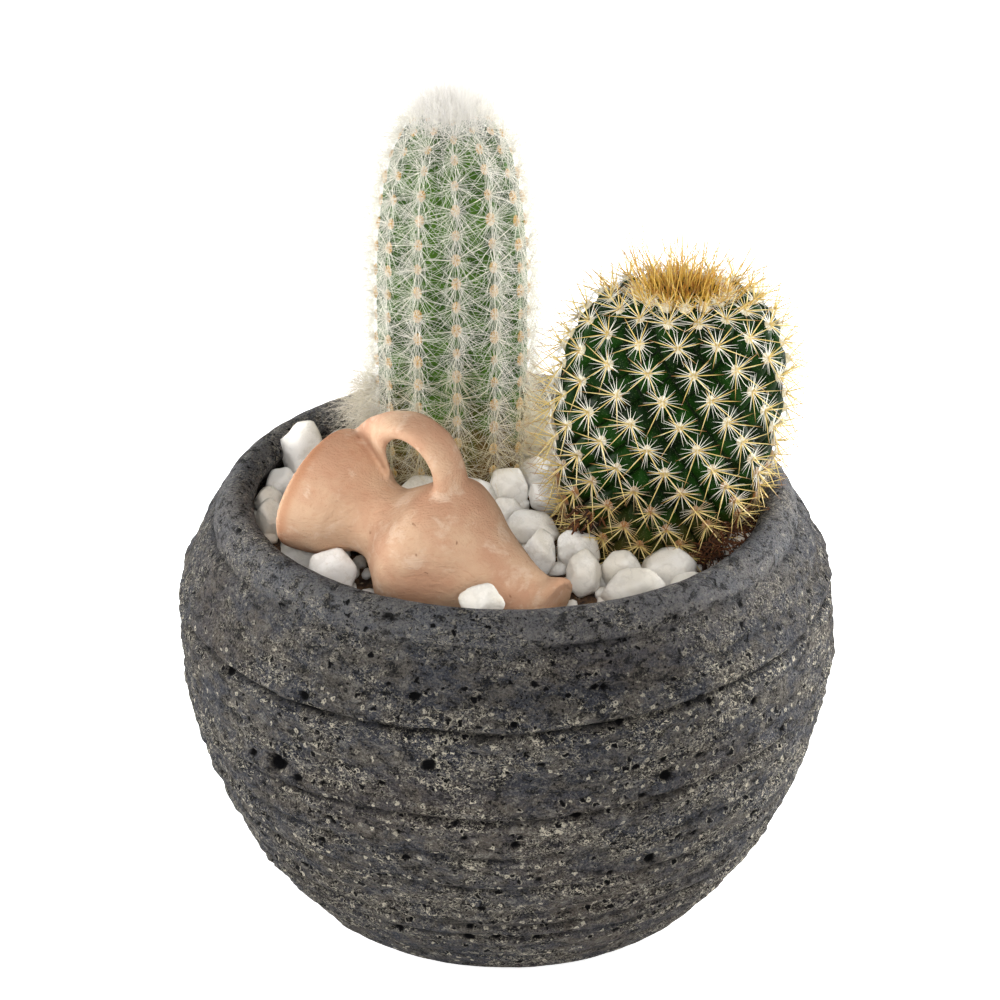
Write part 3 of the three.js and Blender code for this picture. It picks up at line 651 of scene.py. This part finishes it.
def felt_material(name, low, high, aged=None):
    """Woolly felt: a soft matt colour with a fine tangle on it. Where aged is given, heights and a
    colour, it turns to that colour low on the plant."""
    place = start_material(name)
    tangle = place.cloud(0.35, 4, 0.7)
    colour = tangle.rise(0.32, 0.66).mix(low, high)
    if aged:
        colour = (place.height().rise(aged[0] * MM, aged[1] * MM) * (0.5 + tangle)).mix(colour, aged[2])
    return end_material(place, colour, 0.95, tangle, 0.3, Sheen_Weight=0.4)


def strand_material(name, low, high, roughness, tip=None, top=None, glow=0.0):
    """Spines or hairs of tones between two colours, with tips of a third where tip is given. Where
    top is given, heights and a colour, they turn to that colour as they stand higher on the plant.
    glow is a painted glow: the strands give off a little light of their lighter colour, in place of the light
    that thin ones let through."""
    place = start_material(name)
    colour = place.mark("tone").mix(low, high)
    if top:
        mottled = place.height() + (place.cloud(9, 2) - 0.5) * 0.05
        colour = mottled.rise(top[0] * MM, top[1] * MM).mix(colour, top[2])
    if tip:
        colour = place.mark("along").rise(0.62, 0.98).mix(colour, tip)
    scales = place.stretched(1, 1, 0.3).cloud(0.2, 2)
    # Painted glow: the strands give off light in their lighter colour.
    return end_material(place, colour, roughness + 0.15 * scales, scales, 0.02, Specular_IOR_Level=0.4,
                        Emission_Color=high, Emission_Strength=glow)


def column_skin_material():
    place = start_material("column_skin")
    blotches = place.cloud(6, 4, 0.6)
    green = blotches.rise(0.35, 0.65).mix("#1c3a02", "#42661a")
    aged = (place.height() + (blotches - 0.5) * 0.03).rise(0.108, 0.088)
    colour = aged.mix(green, "#5f4622")
    pores = place.cells(0.5).rise(0.3, 0.1)
    colour = (pores * 0.12).mix(colour, "#b7bf93")
    bump = blotches + pores * 0.2
    return end_material(place, colour, 0.5 + 0.3 * blotches, bump, 0.3, Specular_IOR_Level=0.2)


def make_column():
    rng = np.random.default_rng(41)
    add_piece("column_skin", column_skin(), column_skin_material(), "column_skin", "column_cactus")
    angle, share = column_areoles()
    radius, height, out, up = COLUMN_MERIDIAN(share)
    directions = frame_at(angle, out, up)
    outward, _, climbing = directions
    seats = round_points(radius, angle, height) + COLUMN_PLACE
    crowded = seats[:, 2] > COLUMN_SHOULDER

    felt = felt_material("column_areole_felt", "#b07a2c", "#e9c373")
    add_pads("column_areoles", rng, seats, directions, [0.75, 1.0, 1.4], (0.85, 1.15),
             np.where(crowded, 0.75, 1), (0.6, 0.16), felt)

    owner = np.repeat(np.arange(len(seats)), COLUMN_SPINES)
    turn = np.tile(np.arange(COLUMN_SPINES) * math.tau / COLUMN_SPINES, len(seats))
    turn = turn + rng.normal(0, 0.16, len(owner))
    heading = splayed(directions, owner, turn, rng.uniform(0.18, 0.6, len(owner)))
    length = rng.uniform(6.5, 10, len(owner)) * np.where(crowded[owner], 0.7, 1)
    bow = rng.normal(0, 0.03, (len(owner), 3)) + outward[owner] * 0.05
    spine = strand_material("column_spines", "#d4c698", "#eae0c0", 0.45, top=(95, 120, "#fbf8ec"), glow=0.03)
    roots = seats[owner] + outward[owner] * 0.4
    strands("column_spines", rng, roots, spine_paths(heading, length, 4, bow), (0.045, 0.066), spine)

    # The hair is whitest high on the plant: old hair yellows lower down, and its darker colour low on the
    # plant is also painted shade.
    hair = strand_material("column_hair", "#c6b78f", "#ddd1ac", 0.6, top=(92, 116, "#f2efe6"), glow=0.02)
    for layer, per, stand in (("near", NEAR_HAIRS, 0.5), ("far", FAR_HAIRS, 1.2)):
        owner = np.repeat(np.arange(len(seats)), per)
        turn = rng.uniform(0, math.tau, len(owner))
        heading = splayed(directions, owner, turn, rng.uniform(0.5, 1.3, len(owner)) * stand)
        low = np.clip((DROOP_TOP - seats[owner, 2]) / 26, 0, 1)
        length = rng.uniform(6, 12.5, len(owner)) * (0.95 + 0.2 * low)
        paths = hair_paths(rng, heading, length, 7, 0.2, 0.035 + 0.1 * low)
        roots = seats[owner] + outward[owner] * 0.4 + rng.normal(0, 0.35, (len(owner), 3))
        strands(f"column_hair_{layer}", rng, roots, paths, (0.026, 0.04), hair, tip=0.5)
    # The finest hairs stand out farthest, as a grey haze round the stem.
    fine = strand_material("column_haze", "#cbc3b2", "#d9d3c6", 0.6, top=(84, 104, "#dedbd5"))
    for number in (1, 2):
        owner = rng.integers(0, len(seats), HAZE_HAIRS)
        stand = rng.uniform(0.8, 1.3, (HAZE_HAIRS, 1))
        heading = outward[owner] * stand + rng.normal(0, 0.34, (HAZE_HAIRS, 3))
        paths = hair_paths(rng, heading, rng.uniform(4, 10.5, HAZE_HAIRS), 5, 0.16, 0.02)
        roots = seats[owner] + rng.normal(0, 1, (HAZE_HAIRS, 3))
        roots += climbing[owner] * rng.uniform(-2.5, 2.5, (HAZE_HAIRS, 1))
        strands(f"column_haze_{number}", rng, roots, paths, 0.019, fine, tip=0.5)


def make_column_wool():
    """The cap: a soft dome under upright hairs that lean in toward its middle at the top."""
    rng = np.random.default_rng(8)
    dome = smooth_curve([(5.6, -1.2), (5.8, 1), (5, 2.2), (3.2, 3.2), (1.4, 3.7), (0.3, 3.7)], 26)
    angle, radius, height = over_grid(90, *dome.T)
    radius = radius * (0.93 + 0.07 * np.sin(angle * 23 + np.sin(angle * 7) * 2))
    points = round_points(radius, angle, height + WOOL_BASE) + COLUMN_PLACE
    felt = felt_material("column_wool", "#e4dfd8", "#f8f5f0")
    add_piece("column_wool", points, felt, "wool", "column_cactus_wool")
    reach = np.sqrt(rng.uniform(0, 1, WOOL_HAIRS)) * 9
    turn = rng.uniform(0, math.tau, WOOL_HAIRS)
    base = np.interp(reach, [0, 5, 8, 9.6], [88, 86.4, 84, 81.6])
    lean = 0.04 + 0.3 * (reach / 9.6) ** 2
    heading = round_points(lean, turn, turn * 0 + 1) + rng.normal(0, 0.22, (WOOL_HAIRS, 3))
    length = np.interp(reach, [0, 6, 9], [9, 9.2, 7]) * rng.uniform(0.35, 1.1, WOOL_HAIRS)
    paths = hair_paths(rng, heading, length, 6, 0.1, 0)
    drawn_in = np.linspace(0, 1, 6) ** 2 * length[:, None] * 0.12
    inward = round_points(drawn_in, turn[:, None], drawn_in * 0)
    hair = strand_material("wool_hair", "#f2eee8", "#fbf9f5", 0.6, glow=0.03)
    roots = round_points(reach, turn, base) + COLUMN_PLACE
    strands("column_wool_hair", rng, roots, paths - inward, (0.018, 0.03), hair, tip=0.4)


def scattered(rng, count, *ranges):
    """Places drawn at random, each coordinate from its range."""
    return np.column_stack([rng.uniform(low, high, count) for low, high in ranges])


def make_fallen_tuft():
    """A lock of old hair that has slipped down the left of the stem and lies out over the lip."""
    rng = np.random.default_rng(77)
    count = TUFT_HAIRS
    roots = scattered(rng, count, (-31, -27), (24, 38), (93, 106))
    sideways = rng.uniform(-1.2, -0.4, count)
    heading = np.column_stack([sideways, rng.normal(-0.1, 0.5, count), rng.normal(0.15, 0.45, count)])
    paths = hair_paths(rng, heading, rng.uniform(5, 13, count), 8, 0.16, 0.05)
    hair = strand_material("fallen_hair", "#d8cfbd", "#eae4d6", 0.6)
    strands("fallen_tuft", rng, roots, paths, (0.03, 0.045), hair, tip=0.5)


make_column()
make_column_wool()
make_fallen_tuft()


# -------- round cactus
# A glossy round cactus. Its skin is drawn into rhombic tubercles that climb in spirals, and each
# bears an areole of cream wool, a star of thin white spines and a few strong yellow ones with
# red-brown tips. Young golden spines stand packed on its crown.

ROUND_FOOT = (31.2, 3)
ROUND_LEAN = 0.1
TUBERCLES = 15
ROUND_ROWS = 13
# Radius and height above the soil.
ROUND_OUTLINE = [(17.3, 0), (18.4, 3.5), (20, 9), (22.3, 17.5), (24, 28), (24, 37), (22.6, 45.5), (19.4, 52),
                 (14.6, 55.6), (9.4, 56.8)]
ROUND_TOP = ROUND_OUTLINE[-1][1]
ROUND_MERIDIAN = meridian(ROUND_OUTLINE)
# How far the lattice turns with each row, in columns.
ROUND_TWIST = 0.18
# Above this height of the object the areoles are young and woollier.
YOUNG_AREOLES = 137.5
RADIAL_SPINES = 20
# The central spines of one areole: their turn round it, how steeply they stand and their length.
CENTRAL_SPINES = [np.radians([2, 178, -52, -128, 48, 132]), [1, 1, 0.7, 0.7, 1.2, 1.2],
                  [7.6, 7.6, 8.4, 8.4, 7.6, 7.6]]
CROWN_SPINES = 850
DRY_ROOTS = 620
DEAD_FLOWERS = 46


def round_ring(row):
    """The outline at a row of the lattice, which may be a fraction."""
    return ROUND_MERIDIAN(np.clip((np.asarray(row, float) - 1) / ROUND_ROWS, 0, 1) ** 1.12)


def on_round(points):
    """Places points of the upright plant where it stands and leans."""
    x, y, z = np.moveaxis(points, -1, 0)
    return np.stack([x + ROUND_FOOT[0] + ROUND_LEAN * z, y + ROUND_FOOT[1], z + SOIL_TOP], axis=-1)


def round_skin():
    around, row = over_grid(450, np.linspace(0.2, ROUND_ROWS + 1, 205))
    column = around * TUBERCLES / math.pi
    radius, height, out, up = round_ring(row)
    buried = np.clip(1 - row, 0, 1)
    height, radius = height - buried * 7, radius - buried * 2
    angle = (column + ROUND_TWIST * row) * math.pi / TUBERCLES
    swell = (np.cos(math.pi * column) * np.cos(math.pi * row) + 1) / 2
    across = (column + row + 1) % 2 - 1
    climb = (column - row + 1) % 2 - 1
    edge = np.minimum(1 - np.abs(across), 1 - np.abs(climb))
    groove = 1 - (1 - np.clip(edge / 0.62, 0, 1)) ** 2.2
    tubercle = 0.68 * groove ** 0.8 + 0.32 * swell
    fade = np.clip((ROUND_ROWS + 0.6 - row) / 2, 0, 1) * np.clip(row - 0.4, 0, 1)
    sunk = 2.7 * (1 - tubercle) * fade - 0.25 + 0.22 * lumps(round_points(radius, angle, height), 4, 2)
    points = round_points(radius - sunk * out, angle, height - sunk * up)
    return on_round(points), 1 - groove


def round_skin_material():
    place = start_material("round_skin")
    blotches = place.cloud(7, 4, 0.6)
    green = blotches.rise(0.35, 0.65).mix("#031501", "#0f3303")
    aged = (place.height() + (blotches - 0.5) * 0.02).rise(0.1, 0.086)
    colour = aged.mix(green, "#3b3714")
    # Painted shade: the grooves between the tubercles are darkened nearly to black.
    colour = place.mark("groove").rise(0.5, 1).mix(colour, "#020a00")
    pores = place.cells(0.42).rise(0.35, 0.12)
    colour = (pores * 0.1).mix(colour, "#a9c27f")
    bump = blotches + pores * 0.15
    return end_material(place, colour, 0.4 + 0.25 * blotches, bump, 0.2, Specular_IOR_Level=0.08)


def round_areoles():
    """Where the areoles sit, the angle and the skin's direction there, and their rows, which are
    staggered."""
    rows = range(2, ROUND_ROWS + 2)
    places = [(row, column) for row in rows for column in range(row % 2, 2 * TUBERCLES, 2)]
    row, column = np.array(places).T
    radius, height, out, up = round_ring(row)
    angle = (column + ROUND_TWIST * row) * math.pi / TUBERCLES
    return on_round(round_points(radius, angle, height)), angle, out, up, row


def make_round():
    rng = np.random.default_rng(29)
    points, groove = round_skin()
    add_piece("round_skin", points, round_skin_material(), "round_skin", "round_cactus",
              marks={"groove": groove})
    seats, angle, out, up, row = round_areoles()
    directions = frame_at(angle, out, up)
    outward = directions[0]
    felt = felt_material("round_areole_wool", "#d8c592", "#f0e8d0", (116, 96, "#a06a34"))
    add_pads("round_areoles", rng, seats + outward * 0.25, directions, [0.75, 0.95, 1.1], (0.9, 1.2),
             np.where(seats[:, 2] > YOUNG_AREOLES, 1.35, 1), (0.5, 0.2), felt)

    star = np.arange(RADIAL_SPINES) * math.tau / RADIAL_SPINES
    shrink = np.interp(row, [2, 6, 13, 14], [0.78, 1, 1, 0.55])
    tall = (88, 112, "#fffdf2")
    white = strand_material("round_radial_spines", "#a98552", "#cfb27c", 0.4, top=tall, glow=0.04)
    yellow = strand_material("round_central_spines", "#dcbf6c", "#eed996", 0.35, "#95592a", glow=0.01)
    for name, turns, lifts, lengths, thick, curve, material in (
            ("round_radial_spines", star, star * 0 + 0.24, star * 0 + 4.1, 0.095, 0.02, white),
            ("round_central_spines", *CENTRAL_SPINES, 0.16, -0.02, yellow)):
        owner = np.repeat(np.arange(len(seats)), len(turns))
        turn = np.tile(turns, len(seats)) + rng.normal(0, 0.09, len(owner))
        lift = np.tile(lifts, len(seats)) + rng.normal(0, 0.08, len(owner))
        length = np.tile(lengths, len(seats)) * rng.uniform(0.88, 1.12, len(owner)) * shrink[owner]
        heading = splayed(directions, owner, turn, lift)
        paths = spine_paths(heading, length, 5, outward[owner] * curve)
        roots = seats[owner] + outward[owner] * 0.7
        strands(name, rng, roots, paths, (0.85 * thick, 1.1 * thick), material, "crown_spines")


def make_crown():
    rng = np.random.default_rng(17)
    dome = smooth_curve([(9.2, -1.4), (8.8, -0.8), (6.8, -0.8), (4, -1), (0.3, -1)], 24)
    angle, radius, height = over_grid(120, *dome.T)
    points = round_points(radius, angle, height + ROUND_TOP)
    points[..., 2] += 0.3 * lumps(points, 1.6, 3)
    felt = felt_material("crown_wool", "#c9a04a", "#f2dfae")
    add_piece("crown_wool", on_round(points), felt, "wool", "round_cactus_crown")
    count = CROWN_SPINES
    reach = np.sqrt(rng.uniform(0, 1, count)) * 9.2
    turn = rng.uniform(0, math.tau, count)
    base = ROUND_TOP - 0.4 + np.interp(reach, dome[::-1, 0], dome[::-1, 1])
    lean = 0.1 + 0.55 * (reach / 10) ** 2
    heading = round_points(lean, turn, turn * 0 + 1) + rng.normal(0, 0.16, (count, 3))
    length = rng.uniform(2.4, 4.6, count) + np.where(rng.uniform(0, 1, count) > 0.9, 2, 0)
    paths = spine_paths(heading, length, 5, rng.normal(0, 0.09, (count, 3)))
    tones = np.clip(1 - reach / 7 + rng.normal(0, 0.22, count), 0, 1)
    gold = strand_material("crown_spines", "#f6d25e", "#7c3c0a", 0.35, "#bd7c28", glow=0.01)
    roots = on_round(round_points(reach, turn, base))
    strands("crown_spines", rng, roots, paths, (0.11, 0.17), gold, "crown_spines", tones)
    collar(rng)


def collar(rng):
    """The youngest areoles round the crown: short cream spines, and long pale ones that stand up."""
    cream = strand_material("collar_spines", "#f2e6bc", "#fcf6de", 0.4, glow=0.05)
    pale = strand_material("tall_spines", "#c39432", "#dcb95e", 0.35, "#8a5420")
    for name, count, near, far, lean, lengths, thick, material in (
            ("collar_spines", 360, 8.4, 11.4, 1.2, (1.4, 2.8), 0.09, cream),
            ("tall_spines", 135, 2, 14.5, 0.85, (8, 17), 0.13, pale)):
        reach = rng.uniform(near, far, count)
        turn = rng.uniform(0, math.tau, count)
        base = np.interp(reach, [0, 8, 9.4, 12, 14.6], [57, 56.8, 56.7, 56.1, 55.2])
        heading = round_points(reach * lean / 11, turn, turn * 0 + 1) + rng.normal(0, 0.3, (count, 3))
        paths = spine_paths(heading, rng.uniform(*lengths, count), 4)
        roots = on_round(round_points(reach, turn, base))
        strands(name, rng, roots, paths, (0.8 * thick, 1.1 * thick), material, "crown_spines")


def make_litter():
    """Dry brown roots at the right of the stem's foot, and dead flowers at its left."""
    rng = np.random.default_rng(61)
    roots = scattered(rng, DRY_ROOTS, (41, 54), (-20, -4), (85, 91))
    heading = rng.normal(0, 1, (DRY_ROOTS, 3)) * [1, 1, 0.55]
    root_paths = hair_paths(rng, heading, rng.uniform(2, 6, DRY_ROOTS), 6, 0.3, 0.02)
    flowers = scattered(rng, DEAD_FLOWERS, (14, 20), (-14, -9), (90, 96))
    heading = rng.normal(0, 1, (DEAD_FLOWERS, 3)) + [-0.6, -0.9, 0.2]
    flower_paths = hair_paths(rng, heading, rng.uniform(1.5, 4.2, DEAD_FLOWERS), 6, 0.25, 0.12)
    thick = np.concatenate([rng.uniform(0.1, 0.3, DRY_ROOTS), rng.uniform(0.25, 0.5, DEAD_FLOWERS)])
    brown = strand_material("dry_litter", "#24140b", "#734626", 0.9)
    strands("dry_litter", rng, np.vstack([roots, flowers]), np.vstack([root_paths, flower_paths]), thick,
            brown, "soil", tip=0.4)


make_round()
make_crown()
make_litter()


# -------- terracotta jug
# A little unglazed terracotta jug that lies on its side among the pebbles: thrown on a wheel with a
# flared mouth and a foot, with a strap handle pressed on by hand.

JUG_FOOT = np.array([9.3, -41, 86.4])
JUG_HEADING = math.radians(33.7)
JUG_PITCH = math.radians(16.8)
# How far the hand-thrown jug leans to its side for its length.
JUG_LEAN = 0.11
JUG_RIM = 57.2
# Outside radius at distances from the foot, then back down the inside.
JUG_OUTSIDE = [(0.3, 0.9), (5.2, 0.4), (7, 0.1), (7.4, 0.7), (7.3, 1.8), (6.4, 3.6), (6.1, 4.6),
               (7.2, 8.8), (9.2, 13.2), (11.2, 17.6), (14.3, 22.4), (16.2, 26.2), (16.5, 28.8),
               (15.6, 31.6), (12.2, 35.2), (8.9, 38.9), (8.2, 41), (8.6, 43.6), (10.6, 46.6),
               (12.2, 48.6), (13.6, 52.8), (14.1, 56.2), (13.9, 57.2)]
JUG_INSIDE = [(13.9, 57.2), (13.3, 57.5), (12.7, 56.6), (11.6, 52.8), (10.1, 49.4), (7.6, 45.8), (6.2, 43.2),
              (5.9, 41), (6.8, 38.2), (10, 34.2), (13.2, 30.8), (13.9, 28), (13.2, 25.4), (11.5, 22),
              (8.6, 17.4), (5.6, 11), (3, 7.4), (0.3, 6.6)]
# Distances from the foot and from the axis along the middle of the strap.
JUG_HANDLE = [(49.9, 8.6), (49.8, 11.6), (49.1, 15.4), (47.4, 19.2), (44.5, 22.6), (40.6, 24.6), (36, 24.2),
              (32.2, 21.8), (29.8, 18.4), (28.6, 15), (28.4, 12.4)]
HANDLE_WIDTH = 9.4
HANDLE_THICKNESS = 4.6
# Where the strap's lower end meets the belly, and how far round there it is wiped.
HEEL = (15.5, 0, 28.6)
HEEL_REACH = 11
JUG_VOXEL = 0.42


def place_jug(points):
    """Takes points of the upright jug to where it lies, with its handle up."""
    level = math.cos(JUG_PITCH)
    axis = np.array([-math.cos(JUG_HEADING) * level, math.sin(JUG_HEADING) * level, math.sin(JUG_PITCH)])
    side = np.array([math.sin(JUG_HEADING), math.cos(JUG_HEADING), 0])
    up = np.cross(side, axis)
    x, y, z = points.T
    return np.outer(x, up) + np.outer(y - JUG_LEAN * z, side) + np.outer(z, axis) + JUG_FOOT


def jug_body():
    outside = smooth_curve(JUG_OUTSIDE, 150)
    profile = np.vstack([outside, smooth_curve(JUG_INSIDE, 110)[1:]])
    is_outside = np.arange(len(profile)) < len(outside)
    angle, radius, along, is_outside = over_grid(190, *profile.T, is_outside)
    spiral = np.sin(along * 4.1 + angle) * np.clip((24 - along) / 20, 0.25, 1)
    spots = round_points(radius, angle, along)
    hand = 0.2 * lumps(spots, 11, 2) + 0.05 * lumps(spots, 2.2, 2, 4)
    radius = radius + (is_outside * spiral * 0.07 + hand) * np.clip(radius / 4, 0, 1)
    return round_points(radius, angle, along)


def jug_handle():
    """The strap: an oval section swept along its path, wider where its ends are pressed on."""
    steps, sides = 110, 48
    path = smooth_curve(JUG_HANDLE, steps)
    forward = np.gradient(path, axis=0)
    forward /= np.linalg.norm(forward, axis=1, keepdims=True)
    turn = np.linspace(0, math.tau, sides, endpoint=False)
    share = np.linspace(0, 1, steps)
    # Toward the mouth the strap turns edge-on, along the jug, and leans away from the side that shows.
    turned = np.exp(-(share / 0.27) ** 2)[:, None]
    pressed = 1 + 0.25 * np.exp(-((1 - share) / 0.12) ** 2)
    across = np.outer(pressed, np.cos(turn)) * HANDLE_WIDTH / 2
    through = np.abs(np.sin(turn)) ** 0.8 * np.sign(np.sin(turn)) * HANDLE_THICKNESS / 2
    dish = 0.3 * (1 - np.cos(turn) ** 2) * (np.sin(turn) > 0)
    thinned = 0.75 + 0.25 * np.clip(share / 0.12, 0, 1) ** 0.6 + 0.16 * np.exp(-((share - 0.3) / 0.12) ** 2)
    through = np.outer(thinned, through - dish)
    along = path[:, :1] - through * forward[:, 1:] + turned * across * 1.3
    out = path[:, 1:] + through * forward[:, :1] + turned * across * 0.2
    across = across * (1 - 0.5 * turned) + 5 * turned
    points = np.stack([out, across, along], axis=-1)
    return points + 0.12 * lumps(points, 5, 2, 9)[..., None]


def terracotta_material():
    place = start_material("terracotta")
    wash = place.cloud(13, 4, 0.55)
    colour = wash.rise(0.36, 0.64).mix("#bd9174", "#caa789")
    bloom = place.warped(6, 3).cloud(5, 5, 0.65).rise(0.52, 0.68)
    colour = (bloom * 0.5).mix(colour, "#dac1a9")
    strokes = place.warped(9, 4).stretched(0.45, 1.6, 1.6).cloud(1.1, 3, 0.6)
    colour = (strokes.rise(0.52, 0.72) * 0.3).mix(colour, "#b07c5a")
    colour = place.mark("edge").mix(colour, "#b07046")
    uneven = place.warped(1, 0.8)
    pits = uneven.dots(3, 0.12, 0.05, 0.66)
    colour = (pits * 0.5).mix(colour, "#9a6443")
    sand = place.cloud(0.4, 4, 0.65)
    bump = sand * 0.5 + place.cloud(2.2) * 0.6 + wash * 0.5 - strokes * 0.7 - pits * 0.5
    return end_material(place, colour, 0.8 + 0.12 * sand, bump, 0.45, Specular_IOR_Level=0.25)


def freeze(piece):
    """Makes the mesh that the piece's modifiers give its own."""
    bpy.context.view_layer.update()
    shaped = bpy.data.meshes.new_from_object(piece.evaluated_get(bpy.context.evaluated_depsgraph_get()))
    piece.modifiers.clear()
    piece.data = shaped
    shaped.shade_smooth()
    return shaped


def make_jug():
    body, handle = jug_body(), jug_handle()
    points = np.vstack([body.reshape(-1, 3), handle.reshape(-1, 3)])
    first = body.shape[0] * body.shape[1]
    faces = grid_faces(body) + [[first + corner for corner in face] for face in grid_faces(handle)]
    piece = add_piece("terracotta_jug", place_jug(points), terracotta_material(), "terracotta", "jug",
                      faces=faces)
    remesh = piece.modifiers.new("joined", "REMESH")
    remesh.mode = "VOXEL"
    remesh.voxel_size = JUG_VOXEL * MM
    smooth = piece.modifiers.new("wetted", "SMOOTH")
    smooth.iterations = 9
    joined = freeze(piece)
    # The strap's lower end is wiped into the belly with a wet finger.
    heel = place_jug(np.array([HEEL]))[0]
    inside = HEEL_REACH - np.linalg.norm(corners_of(joined) - heel, axis=1)
    group = piece.vertex_groups.new(name="heel")
    for index in np.flatnonzero(inside > 0):
        group.add([int(index)], float(np.clip(inside[index] / 4, 0, 1)), "REPLACE")
    wiped = piece.modifiers.new("wiped", "SMOOTH")
    wiped.vertex_group = "heel"
    wiped.iterations = 45
    joined = freeze(piece)
    # The rims of the mouth and the foot are darker and more orange.
    axis = place_jug(np.array([[0, 0, 1.0]]))[0] - JUG_FOOT
    distance = (corners_of(joined) - JUG_FOOT) @ axis / (axis @ axis)
    rim = np.exp(-((distance - JUG_RIM) / 1.1) ** 2) + 0.5 * np.exp(-((distance - 0.6) / 1.2) ** 2)
    add_mark(joined, "edge", 0.5 * np.clip(rim, 0, 1))


make_jug()


# -------- stage
# A plain white sweep under soft boxes: from the left, from behind on both sides and from the front,
# low and high. The camera stands where the photographer did.

CAMERA_ELEVATION = math.radians(26.24)
CAMERA_DISTANCE = 0.75
CAMERA_AIM = np.array([-0.0015, 0, 0.0918])
CAMERA_LENS = 125.55
SURROUND_LIGHT = 0.3
# Place, width, height and power of each soft box.
SOFT_BOXES = {"left_box": ((-0.85, -0.2, 0.25), 0.35, 0.5, 4.4),
              "left_back_box": ((-0.75, 0.4, 0.1), 0.35, 0.4, 11),
              "right_back_box": ((0.75, 0.4, 0.2), 0.35, 0.5, 19),
              "front_box": ((0.1, -0.85, 0.45), 0.6, 0.5, 5),
              "high_box": ((-0.1, -0.65, 0.8), 0.5, 0.4, 2.6)}


def make_floor():
    turn = np.linspace(0, math.tau, 96, endpoint=False)
    mesh = bpy.data.meshes.new("floor")
    mesh.from_pydata(round_points(6, turn, turn * 0).tolist(), [], [list(range(len(turn)))])
    place = start_material("floor_paper")
    fibres = place.cloud(3)
    glow = place.add("ShaderNodeLightPath", out=0).mix("#404040", "#ffffff")
    mesh.materials.append(end_material(place, fibres.mix("#fafafa", "#ffffff"), 0.9, fibres, 0.02,
                                       Emission_Color=glow, Emission_Strength=0.75))
    floor = bpy.data.objects.new("floor", mesh)
    bpy.context.scene.collection.objects.link(floor)


def aimed(piece, place, aim):
    """Stands a light or the camera at a place, looking at another."""
    piece.location = place
    piece.rotation_euler = (Vector(aim) - Vector(place)).to_track_quat("-Z", "Y").to_euler()
    bpy.context.scene.collection.objects.link(piece)


def make_soft_boxes():
    for name, (place, width, height, power) in SOFT_BOXES.items():
        lamp = bpy.data.lights.new(name, "AREA")
        lamp.shape = "RECTANGLE"
        lamp.size = width
        lamp.size_y = height
        lamp.energy = power
        aimed(bpy.data.objects.new(name, lamp), place, (0, 0, 0.07))


def make_world():
    """White paper all round, which lights the plants less than it shows, as it stands far off."""
    world = bpy.data.worlds.new("studio")
    world.use_nodes = True
    world.node_tree.nodes.clear()
    start = Shade(world)
    light = SURROUND_LIGHT + start.add("ShaderNodeLightPath", out=0)
    surround = start.add("ShaderNodeBackground", None, {"Color": "#ffffff", "Strength": light})
    bpy.context.scene.world = surround.end("ShaderNodeOutputWorld")


def make_camera():
    camera = bpy.data.objects.new("camera", bpy.data.cameras.new("camera"))
    camera.data.lens = CAMERA_LENS
    camera.data.clip_start = 0.02
    back = np.array([0, -math.cos(CAMERA_ELEVATION), math.sin(CAMERA_ELEVATION)])
    aimed(camera, CAMERA_AIM + back * CAMERA_DISTANCE, CAMERA_AIM)
    bpy.context.scene.camera = camera


make_floor()
make_world()
make_soft_boxes()
make_camera()
bpy.context.scene.view_settings.view_transform = "Standard"
